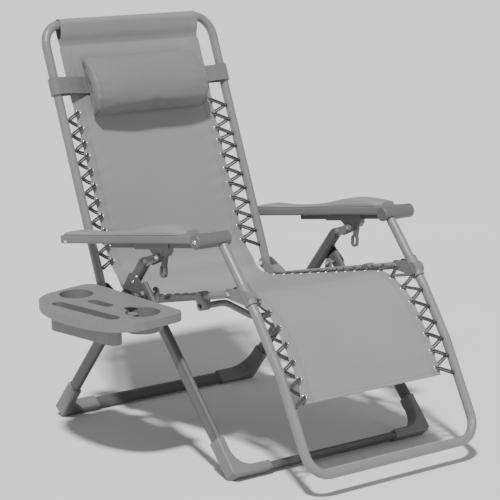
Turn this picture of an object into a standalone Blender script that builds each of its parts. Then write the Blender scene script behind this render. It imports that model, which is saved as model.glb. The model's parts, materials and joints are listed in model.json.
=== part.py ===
"""Zero gravity recliner: steel tube frame, laced sling, side tray and head pillow.

Metres, +Z up. The sitter faces -Y, and "left" is the -X side, where the tray hangs.
The pieces are drawn about the chair's own centre plane (x = 0). They are then moved so
that the origin lies on the floor under the middle of the overall box (ORIGIN).
"""

import math

import bmesh
import bpy
from mathutils import Matrix, Vector

# Driving dimensions, in metres and degrees.
GAP = 0.0003
RAIL_X = 0.295
LEG_X = 0.339
ARM_X = 0.344
TUBE_R = 0.0125
SEAT_TUBE_R = 0.0100
LEG_WIDE = 0.036
LEG_THIN = 0.018
PIN_R = 0.0040
PIN_HOLE_R = 0.0044

# Pivot axes, as (y, z) in the side view. The four frame pivots form a parallelogram.
HIP = Vector((0.289, 0.375))
BACK_ANGLE = math.radians(67.3)
LINK = 0.140
ARM_VECTOR = Vector((-0.533, 0.092))
BACK_DIR = Vector((math.cos(BACK_ANGLE), math.sin(BACK_ANGLE)))
ARM_REAR = HIP + LINK * BACK_DIR
ARM_FRONT = ARM_REAR + ARM_VECTOR
KNEE = HIP + ARM_VECTOR
HUB = HIP + 0.4578 * ARM_VECTOR
LOCK = Vector((-0.009, 0.522))
LEVER = Vector((-0.0305, 0.5385))
BRACKET_RIVET = Vector((0.035, 0.503))

BACK_LENGTH = 0.733
BACK_TAIL = 0.030
BACK_CORNER = 0.060
LEG_BEND = Vector((-0.335, 0.427))
LEG_CALF = Vector((-0.425, 0.300))
FOOT_BAR = Vector((-0.556, 0.062))
FOOT_CORNER = 0.062
FLOOR_Z = 0.0171
REAR_FOOT = Vector((0.405, FLOOR_Z))
FRONT_FOOT = Vector((-0.313, FLOOR_Z))
REAR_LEG_TOP = Vector((0.046, 0.507))
LEG_CORNER = 0.040
SHOE_WIDE = 0.041
SHOE_THIN = 0.0235

SLING_HALF = 0.246
SLING_T = 0.0016
HEM = 0.060
PILLOW_HALF = 0.190
HEM_HALF = 0.2420
SLING_BACK_OFF = -0.0100
EYELET_X = 0.2327
EYELET_R = 0.0045
EYELET_PITCH = 0.0414
CORD_R = 0.0021
HOOK_X = RAIL_X - TUBE_R - 0.0042

TRAY_Z = 0.408
TRAY_TILT = math.radians(-3.5)
TRAY_INNER_X = -0.3625
TRAY_OUTER_X = -0.604
TRAY_REAR_Y = 0.250
TRAY_FRONT_Y = -0.145
TRAY_DEPTH = 0.022
REAR_CLIP_Y = 0.140
FRONT_CLIP_Y = -0.018
CUP_R = 0.0445
CUP_DEPTH = 0.046
CUPS = {"rear_cup": (-0.458, 0.188), "front_cup": (-0.4417, -0.0690)}
POCKETS = {
    "long_pocket": ((-0.537, 0.044), 0.238, 0.0350, 5.7, 0.068),
    "short_pocket": ((-0.4685, 0.071), 0.087, 0.0282, 4.7, 0.040),
}
ORIGIN = Vector((-0.1113, 0.0092, 0.0))

SIDES = {"left": -1.0, "right": 1.0}


def clear_scene():
    for item in list(bpy.data.objects):
        bpy.data.objects.remove(item, do_unlink=True)


def principled(name, colour, roughness, metallic):
    material = bpy.data.materials.new(name)
    material.use_nodes = True
    shader = material.node_tree.nodes["Principled BSDF"]
    shader.inputs["Base Color"].default_value = (*colour, 1.0)
    shader.inputs["Roughness"].default_value = roughness
    shader.inputs["Metallic"].default_value = metallic
    return material


def paint(name):
    return principled(name, (0.30, 0.31, 0.31), 0.42, 0.0)


def plastic(name):
    return principled(name, (0.22, 0.22, 0.23), 0.55, 0.0)


def steel(name):
    return principled(name, (0.72, 0.72, 0.73), 0.28, 1.0)


def cloth(name):
    return principled(name, (0.25, 0.25, 0.26), 0.85, 0.0)


def elastic(name):
    return principled(name, (0.12, 0.12, 0.13), 0.75, 0.0)


def make_object(name, bm, material, smooth_angle=35.0):
    """Turn a bmesh into a named object whose faces point out."""
    bmesh.ops.remove_doubles(bm, verts=bm.verts, dist=1e-6)
    bmesh.ops.recalc_face_normals(bm, faces=bm.faces)
    mesh = bpy.data.meshes.new(name)
    bm.to_mesh(mesh)
    bm.free()
    mesh.shade_smooth()
    mesh.set_sharp_from_angle(angle=math.radians(smooth_angle))
    mesh.materials.append(material(name))
    item = bpy.data.objects.new(name, mesh)
    bpy.context.scene.collection.objects.link(item)
    return item


def as_cutter(item):
    item.hide_render = True
    item.display_type = "WIRE"
    return item


def combine(item, operation, others):
    for other in others:
        modifier = item.modifiers.new(operation.lower(), "BOOLEAN")
        modifier.operation = operation
        modifier.solver = "EXACT"
        modifier.object = other


def cut(item, *cutters):
    combine(item, "DIFFERENCE", cutters)


def join(item, *others):
    combine(item, "UNION", [as_cutter(other) for other in others])


def side_point(x, yz):
    return Vector((x, yz[0], yz[1]))


def rounded(corners, radii, steps=5):
    """Replace the inner corners of a polyline by arcs of the given radii."""
    points = [corners[0]]
    for index in range(1, len(corners) - 1):
        corner = corners[index]
        radius = radii[index - 1]
        arrive = (corner - corners[index - 1]).normalized()
        leave = (corners[index + 1] - corner).normalized()
        turn = arrive.angle(leave)
        start = corner - arrive * radius * math.tan(turn / 2)
        inward = (leave - arrive * leave.dot(arrive)).normalized()
        centre = start + inward * radius
        for step in range(steps + 1):
            angle = turn * step / steps
            points.append(centre - inward * radius * math.cos(angle) + arrive * radius * math.sin(angle))
    points.append(corners[-1])
    return points


def circle(radius, sides):
    angles = [2 * math.pi * i / sides for i in range(sides)]
    return [(radius * math.cos(a), radius * math.sin(a)) for a in angles]


def stadium(wide, thin, arc=4):
    """A flat-oval section: wide along the first direction, thin along the second."""
    radius = thin / 2
    shift = wide / 2 - radius
    points = []
    for end in (1, -1):
        for step in range(arc + 1):
            angle = -math.pi / 2 + math.pi * step / arc
            points.append((end * (shift + radius * math.cos(angle)), end * radius * math.sin(angle)))
    return points


def bridge_rings(bm, rings, closed=False):
    """Join rings of vertices into one closed skin, with end caps unless it is a loop."""
    count = len(rings[0])
    pairs = list(zip(rings, rings[1:]))
    if closed:
        pairs.append((rings[-1], rings[0]))
    for first, second in pairs:
        for i in range(count):
            j = (i + 1) % count
            bm.faces.new((first[i], first[j], second[j], second[i]))
    if not closed:
        bm.faces.new(rings[0])
        bm.faces.new(rings[-1])


def sweep(path, section, first_normal):
    """Carry a section along a path without twist."""
    bm = bmesh.new()
    rings = []
    normal = first_normal.normalized()
    previous = None
    for index, point in enumerate(path):
        ahead = path[min(index + 1, len(path) - 1)] - point
        behind = point - path[max(index - 1, 0)]
        tangent = (ahead.normalized() + behind.normalized()).normalized()
        if previous is not None:
            normal = previous.rotation_difference(tangent) @ normal
        normal = (normal - tangent * normal.dot(tangent)).normalized()
        across = tangent.cross(normal)
        rings.append([bm.verts.new(point + normal * a + across * b) for a, b in section])
        previous = tangent
    bridge_rings(bm, rings)
    return bm


def outline_solid(outline, low_x, high_x):
    """Extrude a side-view outline of (y, z) points along X."""
    bm = bmesh.new()
    low = [bm.verts.new((low_x, y, z)) for y, z in outline]
    high = [bm.verts.new((high_x, y, z)) for y, z in outline]
    bridge_rings(bm, [low, high])
    return bm


def soften(bm, width, segments=2, angle=40.0):
    """Bevel the sharp edges of a solid."""
    bmesh.ops.recalc_face_normals(bm, faces=bm.faces)
    limit = math.radians(angle)
    edges = [e for e in bm.edges if len(e.link_faces) == 2 and e.calc_face_angle(0.0) > limit]
    bmesh.ops.bevel(
        bm, geom=edges, offset=width, offset_type="OFFSET", segments=segments, profile=0.5, affect="EDGES"
    )
    return bm


def turned_x(profile, centre, sides=16):
    """Turn a profile of (x, radius) points about the X axis through a side-view point."""
    bm = bmesh.new()
    rings = []
    for x, radius in profile:
        ring = circle(radius, sides)
        rings.append([bm.verts.new((x, centre[0] + a, centre[1] + b)) for a, b in ring])
    bridge_rings(bm, rings)
    return bm


def box(low, high):
    bm = bmesh.new()
    bmesh.ops.create_cube(bm, size=1.0)
    low = Vector(low)
    high = Vector(high)
    size = high - low
    bmesh.ops.transform(
        bm,
        matrix=Matrix.Translation((low + high) / 2) @ Matrix.Diagonal((*size, 1.0)),
        verts=bm.verts,
    )
    return bm


def around(centre, radius, start, end, steps):
    """Side-view arc points from one angle to another, in degrees."""
    points = []
    for step in range(steps + 1):
        angle = math.radians(start + (end - start) * step / steps)
        points.append((centre[0] + radius * math.cos(angle), centre[1] + radius * math.sin(angle)))
    return points


def capsule(first, second, r_first, r_second, steps=6):
    """Side-view outline of a link with round ends."""
    heading = math.degrees(math.atan2(second[1] - first[1], second[0] - first[0]))
    tail = around(first, r_first, heading + 90, heading + 270, steps)
    head = around(second, r_second, heading - 90, heading + 90, steps)
    return tail + head


def drill(name, centre, low_x, high_x, radius=PIN_HOLE_R):
    bm = turned_x([(low_x, radius), (high_x, radius)], centre)
    return as_cutter(make_object(name, bm, steel))


def pin(name, centre, side, inner_x, outer_x):
    """A pivot bolt: nut inside, shank, domed head outside."""
    inner = inner_x - GAP
    outer = outer_x + GAP
    profile = [
        (inner - 0.0048, 0.0052),
        (inner - 0.0040, 0.0064),
        (inner, 0.0064),
        (inner, PIN_R),
        (outer, PIN_R),
        (outer, 0.0072),
        (outer + 0.0016, 0.0066),
        (outer + 0.0030, 0.0042),
        (outer + 0.0034, 0.0016),
    ]
    return make_object(name, turned_x([(side * x, r) for x, r in profile], centre), steel)


# Tube frames.


def back_frame():
    low = HIP - BACK_TAIL * BACK_DIR
    top = HIP + BACK_LENGTH * BACK_DIR
    corners = [side_point(x, p) for x, p in ((-RAIL_X, low), (-RAIL_X, top), (RAIL_X, top), (RAIL_X, low))]
    path = rounded(corners, [BACK_CORNER, BACK_CORNER], 7)
    return make_object("back_frame", sweep(path, circle(TUBE_R, 16), Vector((1, 0, 0))), paint)


def leg_side_points():
    towards = (LEG_BEND - ARM_FRONT).normalized()
    return [ARM_FRONT + towards * 0.0196, LEG_BEND, LEG_CALF, FOOT_BAR]


def leg_frame():
    points = leg_side_points()
    left = [side_point(-RAIL_X, p) for p in points]
    right = [side_point(RAIL_X, p) for p in reversed(points)]
    radii = [0.10, 0.16, FOOT_CORNER, FOOT_CORNER, 0.16, 0.10]
    path = rounded(left + right, radii, 6)
    return make_object("leg_rest_frame", sweep(path, circle(TUBE_R, 16), Vector((1, 0, 0))), paint)


SEAT_FRONT = Vector((-0.249, 0.4655))
SEAT_REAR = Vector((0.252, 0.3430))
SEAT_DIR = (SEAT_REAR - SEAT_FRONT).normalized()


def seat_rail(side_name, side):
    path = [side_point(side * RAIL_X, SEAT_FRONT), side_point(side * RAIL_X, SEAT_REAR)]
    tube = sweep(path, circle(SEAT_TUBE_R, 16), Vector((1, 0, 0)))
    item = make_object(f"seat_rail_{side_name}", tube, paint)
    return item


def seat_cross_bar():
    """A bowed bar under the seat that ties the two side rails together."""
    anchor = SEAT_FRONT + SEAT_DIR * 0.125 + Vector((-0.006, -0.0245))
    dip = anchor + Vector((-0.012, -0.050))
    reach = RAIL_X - 0.002
    corners = [
        side_point(-reach, anchor),
        side_point(-reach + 0.07, anchor),
        side_point(-reach + 0.16, dip),
        side_point(reach - 0.16, dip),
        side_point(reach - 0.07, anchor),
        side_point(reach, anchor),
    ]
    path = rounded(corners, [0.06, 0.06, 0.06, 0.06], 3)
    return make_object("seat_cross_bar", sweep(path, circle(0.0085, 12), Vector((0, 1, 0))), paint)


def cross_clamp(side_name, side):
    """The saddle clip that hangs the cross bar from a side rail."""
    rail = SEAT_FRONT + SEAT_DIR * 0.125
    anchor = rail + Vector((-0.006, -0.0245))
    outline = capsule(rail, anchor, 0.0128, 0.0116)
    bm = outline_solid(outline, side * RAIL_X - 0.0140, side * RAIL_X + 0.0140)
    item = make_object(f"cross_clamp_{side_name}", bm, plastic)
    path = [side_point(side * RAIL_X, rail + SEAT_DIR * reach) for reach in (-0.03, 0.03)]
    around_rail = sweep(path, circle(SEAT_TUBE_R + GAP, 16), Vector((1, 0, 0)))
    across = turned_x([(side * RAIL_X - 0.03, 0.0088), (side * RAIL_X + 0.03, 0.0088)], anchor, 12)
    cut(item, as_cutter(make_object(f"clamp_rail_cutter_{side_name}", around_rail, steel)))
    cut(item, as_cutter(make_object(f"clamp_bar_cutter_{side_name}", across, steel)))
    return item


def floor_frame(name, foot, top):
    """A U of flat-oval tube: two legs and the bar between them that lies on the floor."""
    corners = [side_point(x, p) for x, p in ((-LEG_X, top), (-LEG_X, foot), (LEG_X, foot), (LEG_X, top))]
    path = rounded(corners, [LEG_CORNER, LEG_CORNER], 6)
    along = (foot - top).normalized()
    normal = Vector((0, -along[1], along[0]))
    item = make_object(name, sweep(path, stadium(LEG_WIDE, LEG_THIN), normal), paint)
    spare = sweep(path, stadium(LEG_WIDE + 4 * GAP, LEG_THIN + 4 * GAP), normal)
    cutter = as_cutter(make_object(f"{name}_cutter", spare, steel))
    return item, cutter


def shoe(name, side, foot, top, cutter):
    """The moulded corner shoe: sharp outer heel, curved inner elbow."""
    up = side_point(0, (top - foot).normalized())
    out = Vector((side, 0, 0))
    normal = out.cross(up)
    origin = side_point(side * LEG_X, foot)
    half = SHOE_THIN / 2
    inner = 0.052
    height = 0.100
    reach = 0.118
    flat = [
        (half, height),
        (half, -half + 0.010),
        (half - 0.010, -half),
        (-reach, -half),
        (-reach, half),
    ]
    for step in range(7):
        angle = math.radians(-90 + 90 * step / 6)
        flat.append((-half - inner + inner * math.cos(angle), half + inner + inner * math.sin(angle)))
    flat.append((-half, height))
    bm = bmesh.new()
    rings = []
    for shift in (-SHOE_WIDE / 2, SHOE_WIDE / 2):
        rings.append([bm.verts.new(origin + out * a + up * b + normal * shift) for a, b in flat])
    bridge_rings(bm, rings)
    soften(bm, 0.0035, 1, 50.0)
    item = make_object(name, bm, plastic)
    ground = box((origin.x - 0.2, origin.y - 0.2, -0.1), (origin.x + 0.2, origin.y + 0.2, 0.0))
    cut(item, cutter, as_cutter(make_object(f"{name}_ground_cutter", ground, steel)))
    return item


def leg_top_cutter(side_name, side):
    """Takes the rear corner off the leg's top end, so that the tilted arm passes over it."""
    along = Vector((0.888, -0.460))
    above = Vector((0.460, 0.888))
    start = LOCK + above * 0.0180
    near = start - along * 0.02
    far = start + along * 0.20
    wedge = [near, far, far + above * 0.1, near + above * 0.1]
    solid = outline_solid([tuple(p) for p in wedge], side * 0.32, side * 0.36)
    return as_cutter(make_object(f"leg_top_cutter_{side_name}", solid, steel))


# Brackets at the pivots.


def hub_plate(side_name, side):
    """The plate riveted to the rear leg that carries the front leg and the seat."""
    leg = (REAR_LEG_TOP - REAR_FOOT).normalized()
    lower = REAR_LEG_TOP - leg * 0.118
    upper = REAR_LEG_TOP - leg * 0.070
    outline = around(HUB, 0.0165, 150, 330, 8) + [tuple(lower + Vector((0.014, 0.004)))]
    outline += [tuple(upper + Vector((0.016, 0.010))), tuple(upper + Vector((-0.006, 0.014)))]
    low = side * (LEG_X + LEG_THIN / 2 + GAP)
    high = side * (LEG_X + LEG_THIN / 2 + 0.0035)
    return make_object(f"hub_plate_{side_name}", outline_solid(outline, low, high), paint)


def seat_hanger(side_name, side):
    """The lug that hangs the seat rail from the main pivot."""
    foot = SEAT_FRONT + SEAT_DIR * (HUB[0] - SEAT_FRONT[0]) / SEAT_DIR[0]
    outline = capsule(foot, HUB, 0.0130, 0.0120)
    low = side * (RAIL_X + SEAT_TUBE_R + 2 * GAP)
    high = side * (RAIL_X + SEAT_TUBE_R + 0.0045)
    return make_object(f"seat_hanger_{side_name}", outline_solid(outline, low, high), paint)


def hip_bracket(side_name, side):
    """The channel on the rear end of the seat rail that the back frame turns in."""
    mid = side * RAIL_X
    outline = capsule(SEAT_REAR - SEAT_DIR * 0.022, HIP, 0.0128, 0.0145)
    plate = outline_solid(outline, mid - 0.0168, mid + 0.0168)
    item = make_object(f"hip_bracket_{side_name}", plate, paint)
    path = [side_point(mid, SEAT_REAR - SEAT_DIR * 0.08), side_point(mid, SEAT_REAR + SEAT_DIR * 0.004)]
    bore = sweep(path, circle(SEAT_TUBE_R + GAP, 20), Vector((1, 0, 0)))
    slot = turned_x([(mid - 0.0133, 0.0350), (mid + 0.0133, 0.0350)], HIP, 32)
    cut(item, as_cutter(make_object(f"hip_bore_cutter_{side_name}", bore, steel)))
    cut(item, as_cutter(make_object(f"hip_slot_cutter_{side_name}", slot, steel)))
    return item


def knee_collar(side_name, side):
    """The sleeve on the leg frame whose lug holds the front end of the seat rail."""
    mid = side * RAIL_X
    down = (LEG_BEND - ARM_FRONT).normalized()
    tube_at = ARM_FRONT + down * 0.1665
    name = f"knee_collar_{side_name}"
    sleeve = [side_point(mid, tube_at - down * 0.028), side_point(mid, tube_at + down * 0.028)]
    item = make_object(name, sweep(sleeve, circle(0.0166, 24), Vector((1, 0, 0))), plastic)
    lug_outline = capsule(tube_at + down * 0.004, KNEE, 0.0180, 0.0135, 8)
    lug = outline_solid(lug_outline, mid - 0.0158, mid + 0.0158)
    join(item, make_object(f"{name}_lug", lug, plastic))
    path = [side_point(mid, tube_at - down * 0.05), side_point(mid, tube_at + down * 0.05)]
    bore = sweep(path, circle(TUBE_R + 0.0004, 20), Vector((1, 0, 0)))
    slot_low = (mid - 0.0108, KNEE[0] - 0.019, KNEE[1] - 0.05)
    slot = box(slot_low, (mid + 0.0108, KNEE[0] + 0.05, KNEE[1] + 0.05))
    cut(item, as_cutter(make_object(f"collar_bore_cutter_{side_name}", bore, steel)))
    cut(item, as_cutter(make_object(f"collar_slot_cutter_{side_name}", slot, steel)))
    return item


def arm_bracket(side_name, side):
    """Two cheeks riveted through the top of the rear leg; the arm lock turns between them."""
    mid = side * LEG_X
    outline = capsule(BRACKET_RIVET, LOCK, 0.0120, 0.0100)
    plate = outline_solid(outline, mid - 0.0125, mid + 0.0125)
    item = make_object(f"arm_bracket_{side_name}", plate, paint)
    half = LEG_THIN / 2 + 2 * GAP
    slot = box((mid - half, -0.1, 0.4), (mid + half, 0.1, 0.6))
    cut(item, as_cutter(make_object(f"bracket_slot_cutter_{side_name}", slot, steel)))
    profile = [
        (-0.0165, 0.0040),
        (-0.0150, 0.0066),
        (-0.0120, 0.0072),
        (-0.0120, PIN_R),
        (0.0120, PIN_R),
        (0.0120, 0.0072),
        (0.0150, 0.0066),
        (0.0165, 0.0040),
    ]
    rivet = turned_x([(mid + side * x, r) for x, r in profile], BRACKET_RIVET)
    join(item, make_object(f"bracket_rivet_{side_name}", rivet, steel))
    return item


# Arms.


ARM_DIR = ARM_VECTOR.normalized()
ARM_UP = Vector((-ARM_DIR[1], ARM_DIR[0])) * -1.0
ARM_REACH = ARM_VECTOR.length


def arm_point(along, up):
    """A side-view point: distance forward of the rear arm pivot, and height over the pivot line."""
    return ARM_REAR + ARM_DIR * along + ARM_UP * up


def armrest(side_name, side):
    front = ARM_REACH - 0.0197
    corners = ((-0.026, 0.017), (-0.026, -0.0055), (front, -0.0055), (front, 0.017))
    outline = [arm_point(along, up) for along, up in corners]
    inner = ARM_X - 0.033
    outer = ARM_X + 0.033
    bm = outline_solid([tuple(p) for p in outline], side * inner, side * outer)
    return make_object(f"armrest_{side_name}", soften(bm, 0.004, 2), plastic)


def pad_height(share):
    """Height of the arm pad over its base along its length, from the rear end (0) to the front (1)."""
    heel = 0.0065 * math.exp(-((share - 0.10) / 0.09) ** 2)
    palm = 0.0190 * math.exp(-((share - 0.78) / 0.22) ** 2)
    return 0.0040 + heel + palm


# Half of the pad's cross-section steps out and up; the other half mirrors it.
PAD_HALF_SECTION = [(1.0, 0.0), (1.0, 0.35), (0.86, 0.80), (0.5, 1.0)]
PAD_SECTION = [(-across, rise) for across, rise in PAD_HALF_SECTION] + PAD_HALF_SECTION[::-1]


def arm_pad(side_name, side):
    """The shaped top of the arm: low at the elbow, high under the palm."""
    bm = bmesh.new()
    rings = []
    stations = 20
    start = -0.020
    length = ARM_REACH - 0.046 - start
    for index in range(stations + 1):
        share = index / stations
        end = min(share, 1 - share)
        half = 0.031 * math.sqrt(max(0.0, 1 - (1 - min(end / 0.06, 1.0)) ** 2) * 0.45 + 0.55)
        height = pad_height(share)
        ring = []
        for across, rise in PAD_SECTION:
            at = arm_point(start + length * share, 0.0173 + rise * height)
            ring.append(bm.verts.new(side_point(side * ARM_X + across * half, at)))
        rings.append(ring)
    bridge_rings(bm, rings)
    return make_object(f"arm_pad_{side_name}", bm, plastic)


def arm_roll(side_name, side):
    """The round grip across the front of the arm."""
    profile = [(0.2705, 0.0165), (0.2730, 0.0190), (0.3765, 0.0190), (0.3790, 0.0165)]
    bm = turned_x([(side * x, r) for x, r in profile], ARM_FRONT, 24)
    return make_object(f"arm_roll_{side_name}", bm, plastic)


def arm_track(side_name, side):
    """The bar under the arm that the lock slides along."""
    corners = ((0.150, -0.0058), (0.150, -0.0190), (0.500, -0.0190), (0.500, -0.0058))
    outline = [arm_point(along, up) for along, up in corners]
    bm = outline_solid([tuple(p) for p in outline], side * (LEG_X - 0.0055), side * (LEG_X + 0.0055))
    return make_object(f"arm_track_{side_name}", bm, paint)


def lock_housing(side_name, side):
    """The sliding lock: a channel round the track with a tongue down to the pivot."""
    mid = side * LEG_X
    at = (LOCK - ARM_REAR).dot(ARM_DIR)
    top = -0.0075
    outline = [arm_point(at - 0.100, top), arm_point(at - 0.092, -0.0225), arm_point(at - 0.034, -0.0225)]
    outline += [Vector(p) for p in around(LOCK, 0.0100, -20, -160, 5)]
    outline += [
        arm_point(at + 0.016, -0.0400),
        arm_point(at + 0.034, -0.0400),
        arm_point(at + 0.045, -0.0290),
        arm_point(at + 0.046, top),
    ]
    bm = outline_solid([tuple(p) for p in outline], mid - 0.0085, mid + 0.0085)
    item = make_object(f"lock_housing_{side_name}", bm, plastic)
    slot = [arm_point(a, u) for a, u in ((0.05, 0.03), (0.05, -0.0195), (0.54, -0.0195), (0.54, 0.03))]
    slot_solid = outline_solid([tuple(p) for p in slot], mid - 0.0061, mid + 0.0061)
    pocket = around(LEVER, 0.0085, 0, 180, 6)
    pocket += [tuple(LEVER + Vector((-0.060, -0.060))), tuple(LEVER + Vector((0.0130, -0.060)))]
    pocket_solid = outline_solid(pocket, mid - 0.0055, mid + 0.0055)
    cut(item, as_cutter(make_object(f"lock_slot_cutter_{side_name}", slot_solid, steel)))
    cut(item, as_cutter(make_object(f"lock_pocket_cutter_{side_name}", pocket_solid, steel)))
    cut(item, drill(f"lever_drill_{side_name}", LEVER, mid - 0.02, mid + 0.02, 0.0030))
    return item


def lock_lever(side_name, side):
    """The ring lever that frees the lock when it is pulled forward."""
    mid = side * LEG_X
    ring = Vector((-0.0235, 0.487))
    half = 0.0050
    stem = capsule(ring, LEVER, 0.0060, 0.0072, 6)
    item = make_object(f"lock_lever_{side_name}", outline_solid(stem, mid - half, mid + half), plastic)
    rim = capsule(ring + Vector((0, -0.006)), ring + Vector((0, 0.006)), 0.0112, 0.0112, 8)
    rim_solid = outline_solid(rim, mid - half + 0.0004, mid + half - 0.0004)
    join(item, make_object(f"lever_rim_{side_name}", rim_solid, plastic))
    stub = turned_x([(mid - 0.0082, 0.0026), (mid + 0.0082, 0.0026)], LEVER, 12)
    join(item, make_object(f"lever_stub_{side_name}", stub, plastic))
    hole = capsule(ring + Vector((0, -0.006)), ring + Vector((0, 0.006)), 0.0068, 0.0068, 8)
    hole_solid = outline_solid(hole, mid - 0.02, mid + 0.02)
    cut(item, as_cutter(make_object(f"lever_hole_cutter_{side_name}", hole_solid, steel)))
    return item


# Sling and lacing.


def back_at(along, off):
    """A side-view point on the back: distance up from the hip pivot, and distance in front of the tubes."""
    front = Vector((-BACK_DIR[1], BACK_DIR[0]))
    return HIP + BACK_DIR * along + front * off


def seat_sheet(y):
    return Vector((y, 0.355 + (0.225 - y) * 0.2202))


LEG_SHEET_END = Vector((-0.462, 0.216))


def sheet_solid(points, halves):
    """A thin sheet that follows side-view points, with its own half-width at each point."""
    bm = bmesh.new()
    count = len(points)
    rings = []
    for i, point in enumerate(points):
        ahead = points[min(i + 1, count - 1)] - points[max(i - 1, 0)]
        normal = Vector((-ahead[1], ahead[0])).normalized() * SLING_T / 2
        half = halves[i]
        upper = point + normal
        lower = point - normal
        ring = [(-half, upper), (half, upper), (half, lower), (-half, lower)]
        rings.append([bm.verts.new(side_point(x, p)) for x, p in ring])
    bridge_rings(bm, rings)
    return bm


def pierce(item, name, centres, normal):
    """Cut a row of eyelet holes down both sides of a sheet."""
    bm = bmesh.new()
    for x in (-EYELET_X, EYELET_X):
        for centre in centres:
            rings = []
            across = Vector((1, 0, 0))
            along = normal.cross(across)
            for shift in (-0.012, 0.012):
                base = side_point(x, centre) + normal * shift
                rings.append([bm.verts.new(base + across * a + along * b) for a, b in circle(EYELET_R, 8)])
            bridge_rings(bm, rings)
    cut(item, as_cutter(make_object(name, bm, steel)))


def lacing(name, side, eyelets, normal):
    """Elastic cord that runs up through each eyelet and out to the frame between eyelets."""
    lift = 0.0034
    path = []
    for index, centre in enumerate(eyelets):
        at = side_point(side * EYELET_X, centre)
        path.append(at - normal * lift)
        path.append(at + normal * lift)
        if index + 1 < len(eyelets):
            middle = (centre + eyelets[index + 1]) / 2
            path.append(side_point(side * HOOK_X, middle) + normal * 0.0022)
            path.append(side_point(side * HOOK_X, middle) - normal * 0.0022)
    return make_object(name, sweep(path, circle(CORD_R, 6), Vector((side, 0, 0))), elastic)


def back_eyelets():
    return [back_at(0.490 - EYELET_PITCH * i, SLING_BACK_OFF) for i in range(11)]


def seat_eyelets():
    return [seat_sheet(0.175 - 0.0404 * i) for i in range(10)]


def leg_line():
    start = Vector((-0.3205, 0.4215))
    end = LEG_SHEET_END
    return start, (end - start).normalized(), (end - start).length


def leg_eyelets():
    start, heading, length = leg_line()
    return [start + heading * (0.018 + (length - 0.034) * i / 5) for i in range(6)]


def sling_back():
    """The back sheet, with a hem that goes over the top bar from the front and ends behind it."""
    bar = HIP + BACK_LENGTH * BACK_DIR
    radius = TUBE_R + 0.0016
    heading = math.degrees(BACK_ANGLE)
    seam = BACK_LENGTH - HEM
    points = [back_at(0.060, SLING_BACK_OFF), back_at(seam - 0.008, SLING_BACK_OFF)]
    points += [back_at(seam, SLING_BACK_OFF), back_at(seam + 0.004, SLING_BACK_OFF + 0.0005)]
    points += [Vector(p) for p in around(bar, radius, heading + 100, heading - 84, 14)]
    points += [back_at(seam + 0.003, SLING_BACK_OFF - 0.0022)]
    halves = [SLING_HALF, SLING_HALF] + [HEM_HALF] * (len(points) - 2)
    item = make_object("sling_back", sheet_solid(points, halves), cloth)
    pierce(item, "back_eyelet_cutter", back_eyelets(), side_point(0, Vector((-BACK_DIR[1], BACK_DIR[0]))))
    return item


def sling_seat():
    points = [seat_sheet(0.214), seat_sheet(0.0), seat_sheet(-0.214)]
    item = make_object("sling_seat", sheet_solid(points, [SLING_HALF] * 3), cloth, 0.5)
    pierce(item, "seat_eyelet_cutter", seat_eyelets(), Vector((0, 0.215, 0.9766)))
    return item


def sling_leg():
    start, heading, length = leg_line()
    points = [start, start + heading * length]
    item = make_object("sling_leg", sheet_solid(points, [SLING_HALF] * 2), cloth)
    pierce(item, "leg_eyelet_cutter", leg_eyelets(), Vector((0, heading[1], -heading[0])))
    return item


def pillow():
    """The head pillow: flat against the sling, fuller towards its lower edge."""
    low = 0.466
    high = 0.648
    rear = -0.0055
    depth = 0.053
    profile = []
    steps = 12
    for step in range(steps + 1):
        share = step / steps
        bulge = math.sin(math.pi * share**0.80) ** 0.62 if 0 < share < 1 else 0.0
        off = rear + 0.006 + (depth - rear - 0.006) * bulge
        profile.append(tuple(back_at(low + (high - low) * share, off)))
    profile.append(tuple(back_at(high, rear)))
    profile.append(tuple(back_at(low, rear)))
    bm = outline_solid(profile, -PILLOW_HALF, PILLOW_HALF)
    return make_object("pillow", bm, cloth)


def pillow_strap():
    """The elastic band that carries the pillow: one loop round both side tubes, behind the pillow."""
    radius = TUBE_R + 0.0040
    thickness = 0.0012
    centre = 0.561
    half = 0.0230
    inner = []
    outer = []
    for end in (1, -1):
        turn = []
        for step in range(9):
            angle = -math.pi / 2 + math.pi * step / 8
            turn.append((math.cos(angle), math.sin(angle)))
        for c, s in turn:
            inner.append((end * (RAIL_X + radius * c), end * radius * s))
            outer.append((end * (RAIL_X + (radius + thickness) * c), end * (radius + thickness) * s))
        if end == 1:
            dip = [(0.262, 0.0120), (0.224, 0.0016), (PILLOW_HALF + 0.003, -0.0079)]
            for x, n in dip + [(-x, n) for x, n in reversed(dip)]:
                inner.append((x, n))
                outer.append((x, n + thickness))
    bm = bmesh.new()
    front = side_point(0, Vector((-BACK_DIR[1], BACK_DIR[0])))
    up = side_point(0, BACK_DIR)
    origin = side_point(0, HIP) + up * centre
    rings = []
    for near, far in zip(inner, outer):
        ring = []
        for point, shift in ((near, -half), (far, -half), (far, half), (near, half)):
            ring.append(bm.verts.new(origin + Vector((point[0], 0, 0)) + front * point[1] + up * shift))
        rings.append(ring)
    bridge_rings(bm, rings, closed=True)
    return make_object("pillow_strap", bm, cloth)


# Tray.


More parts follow.
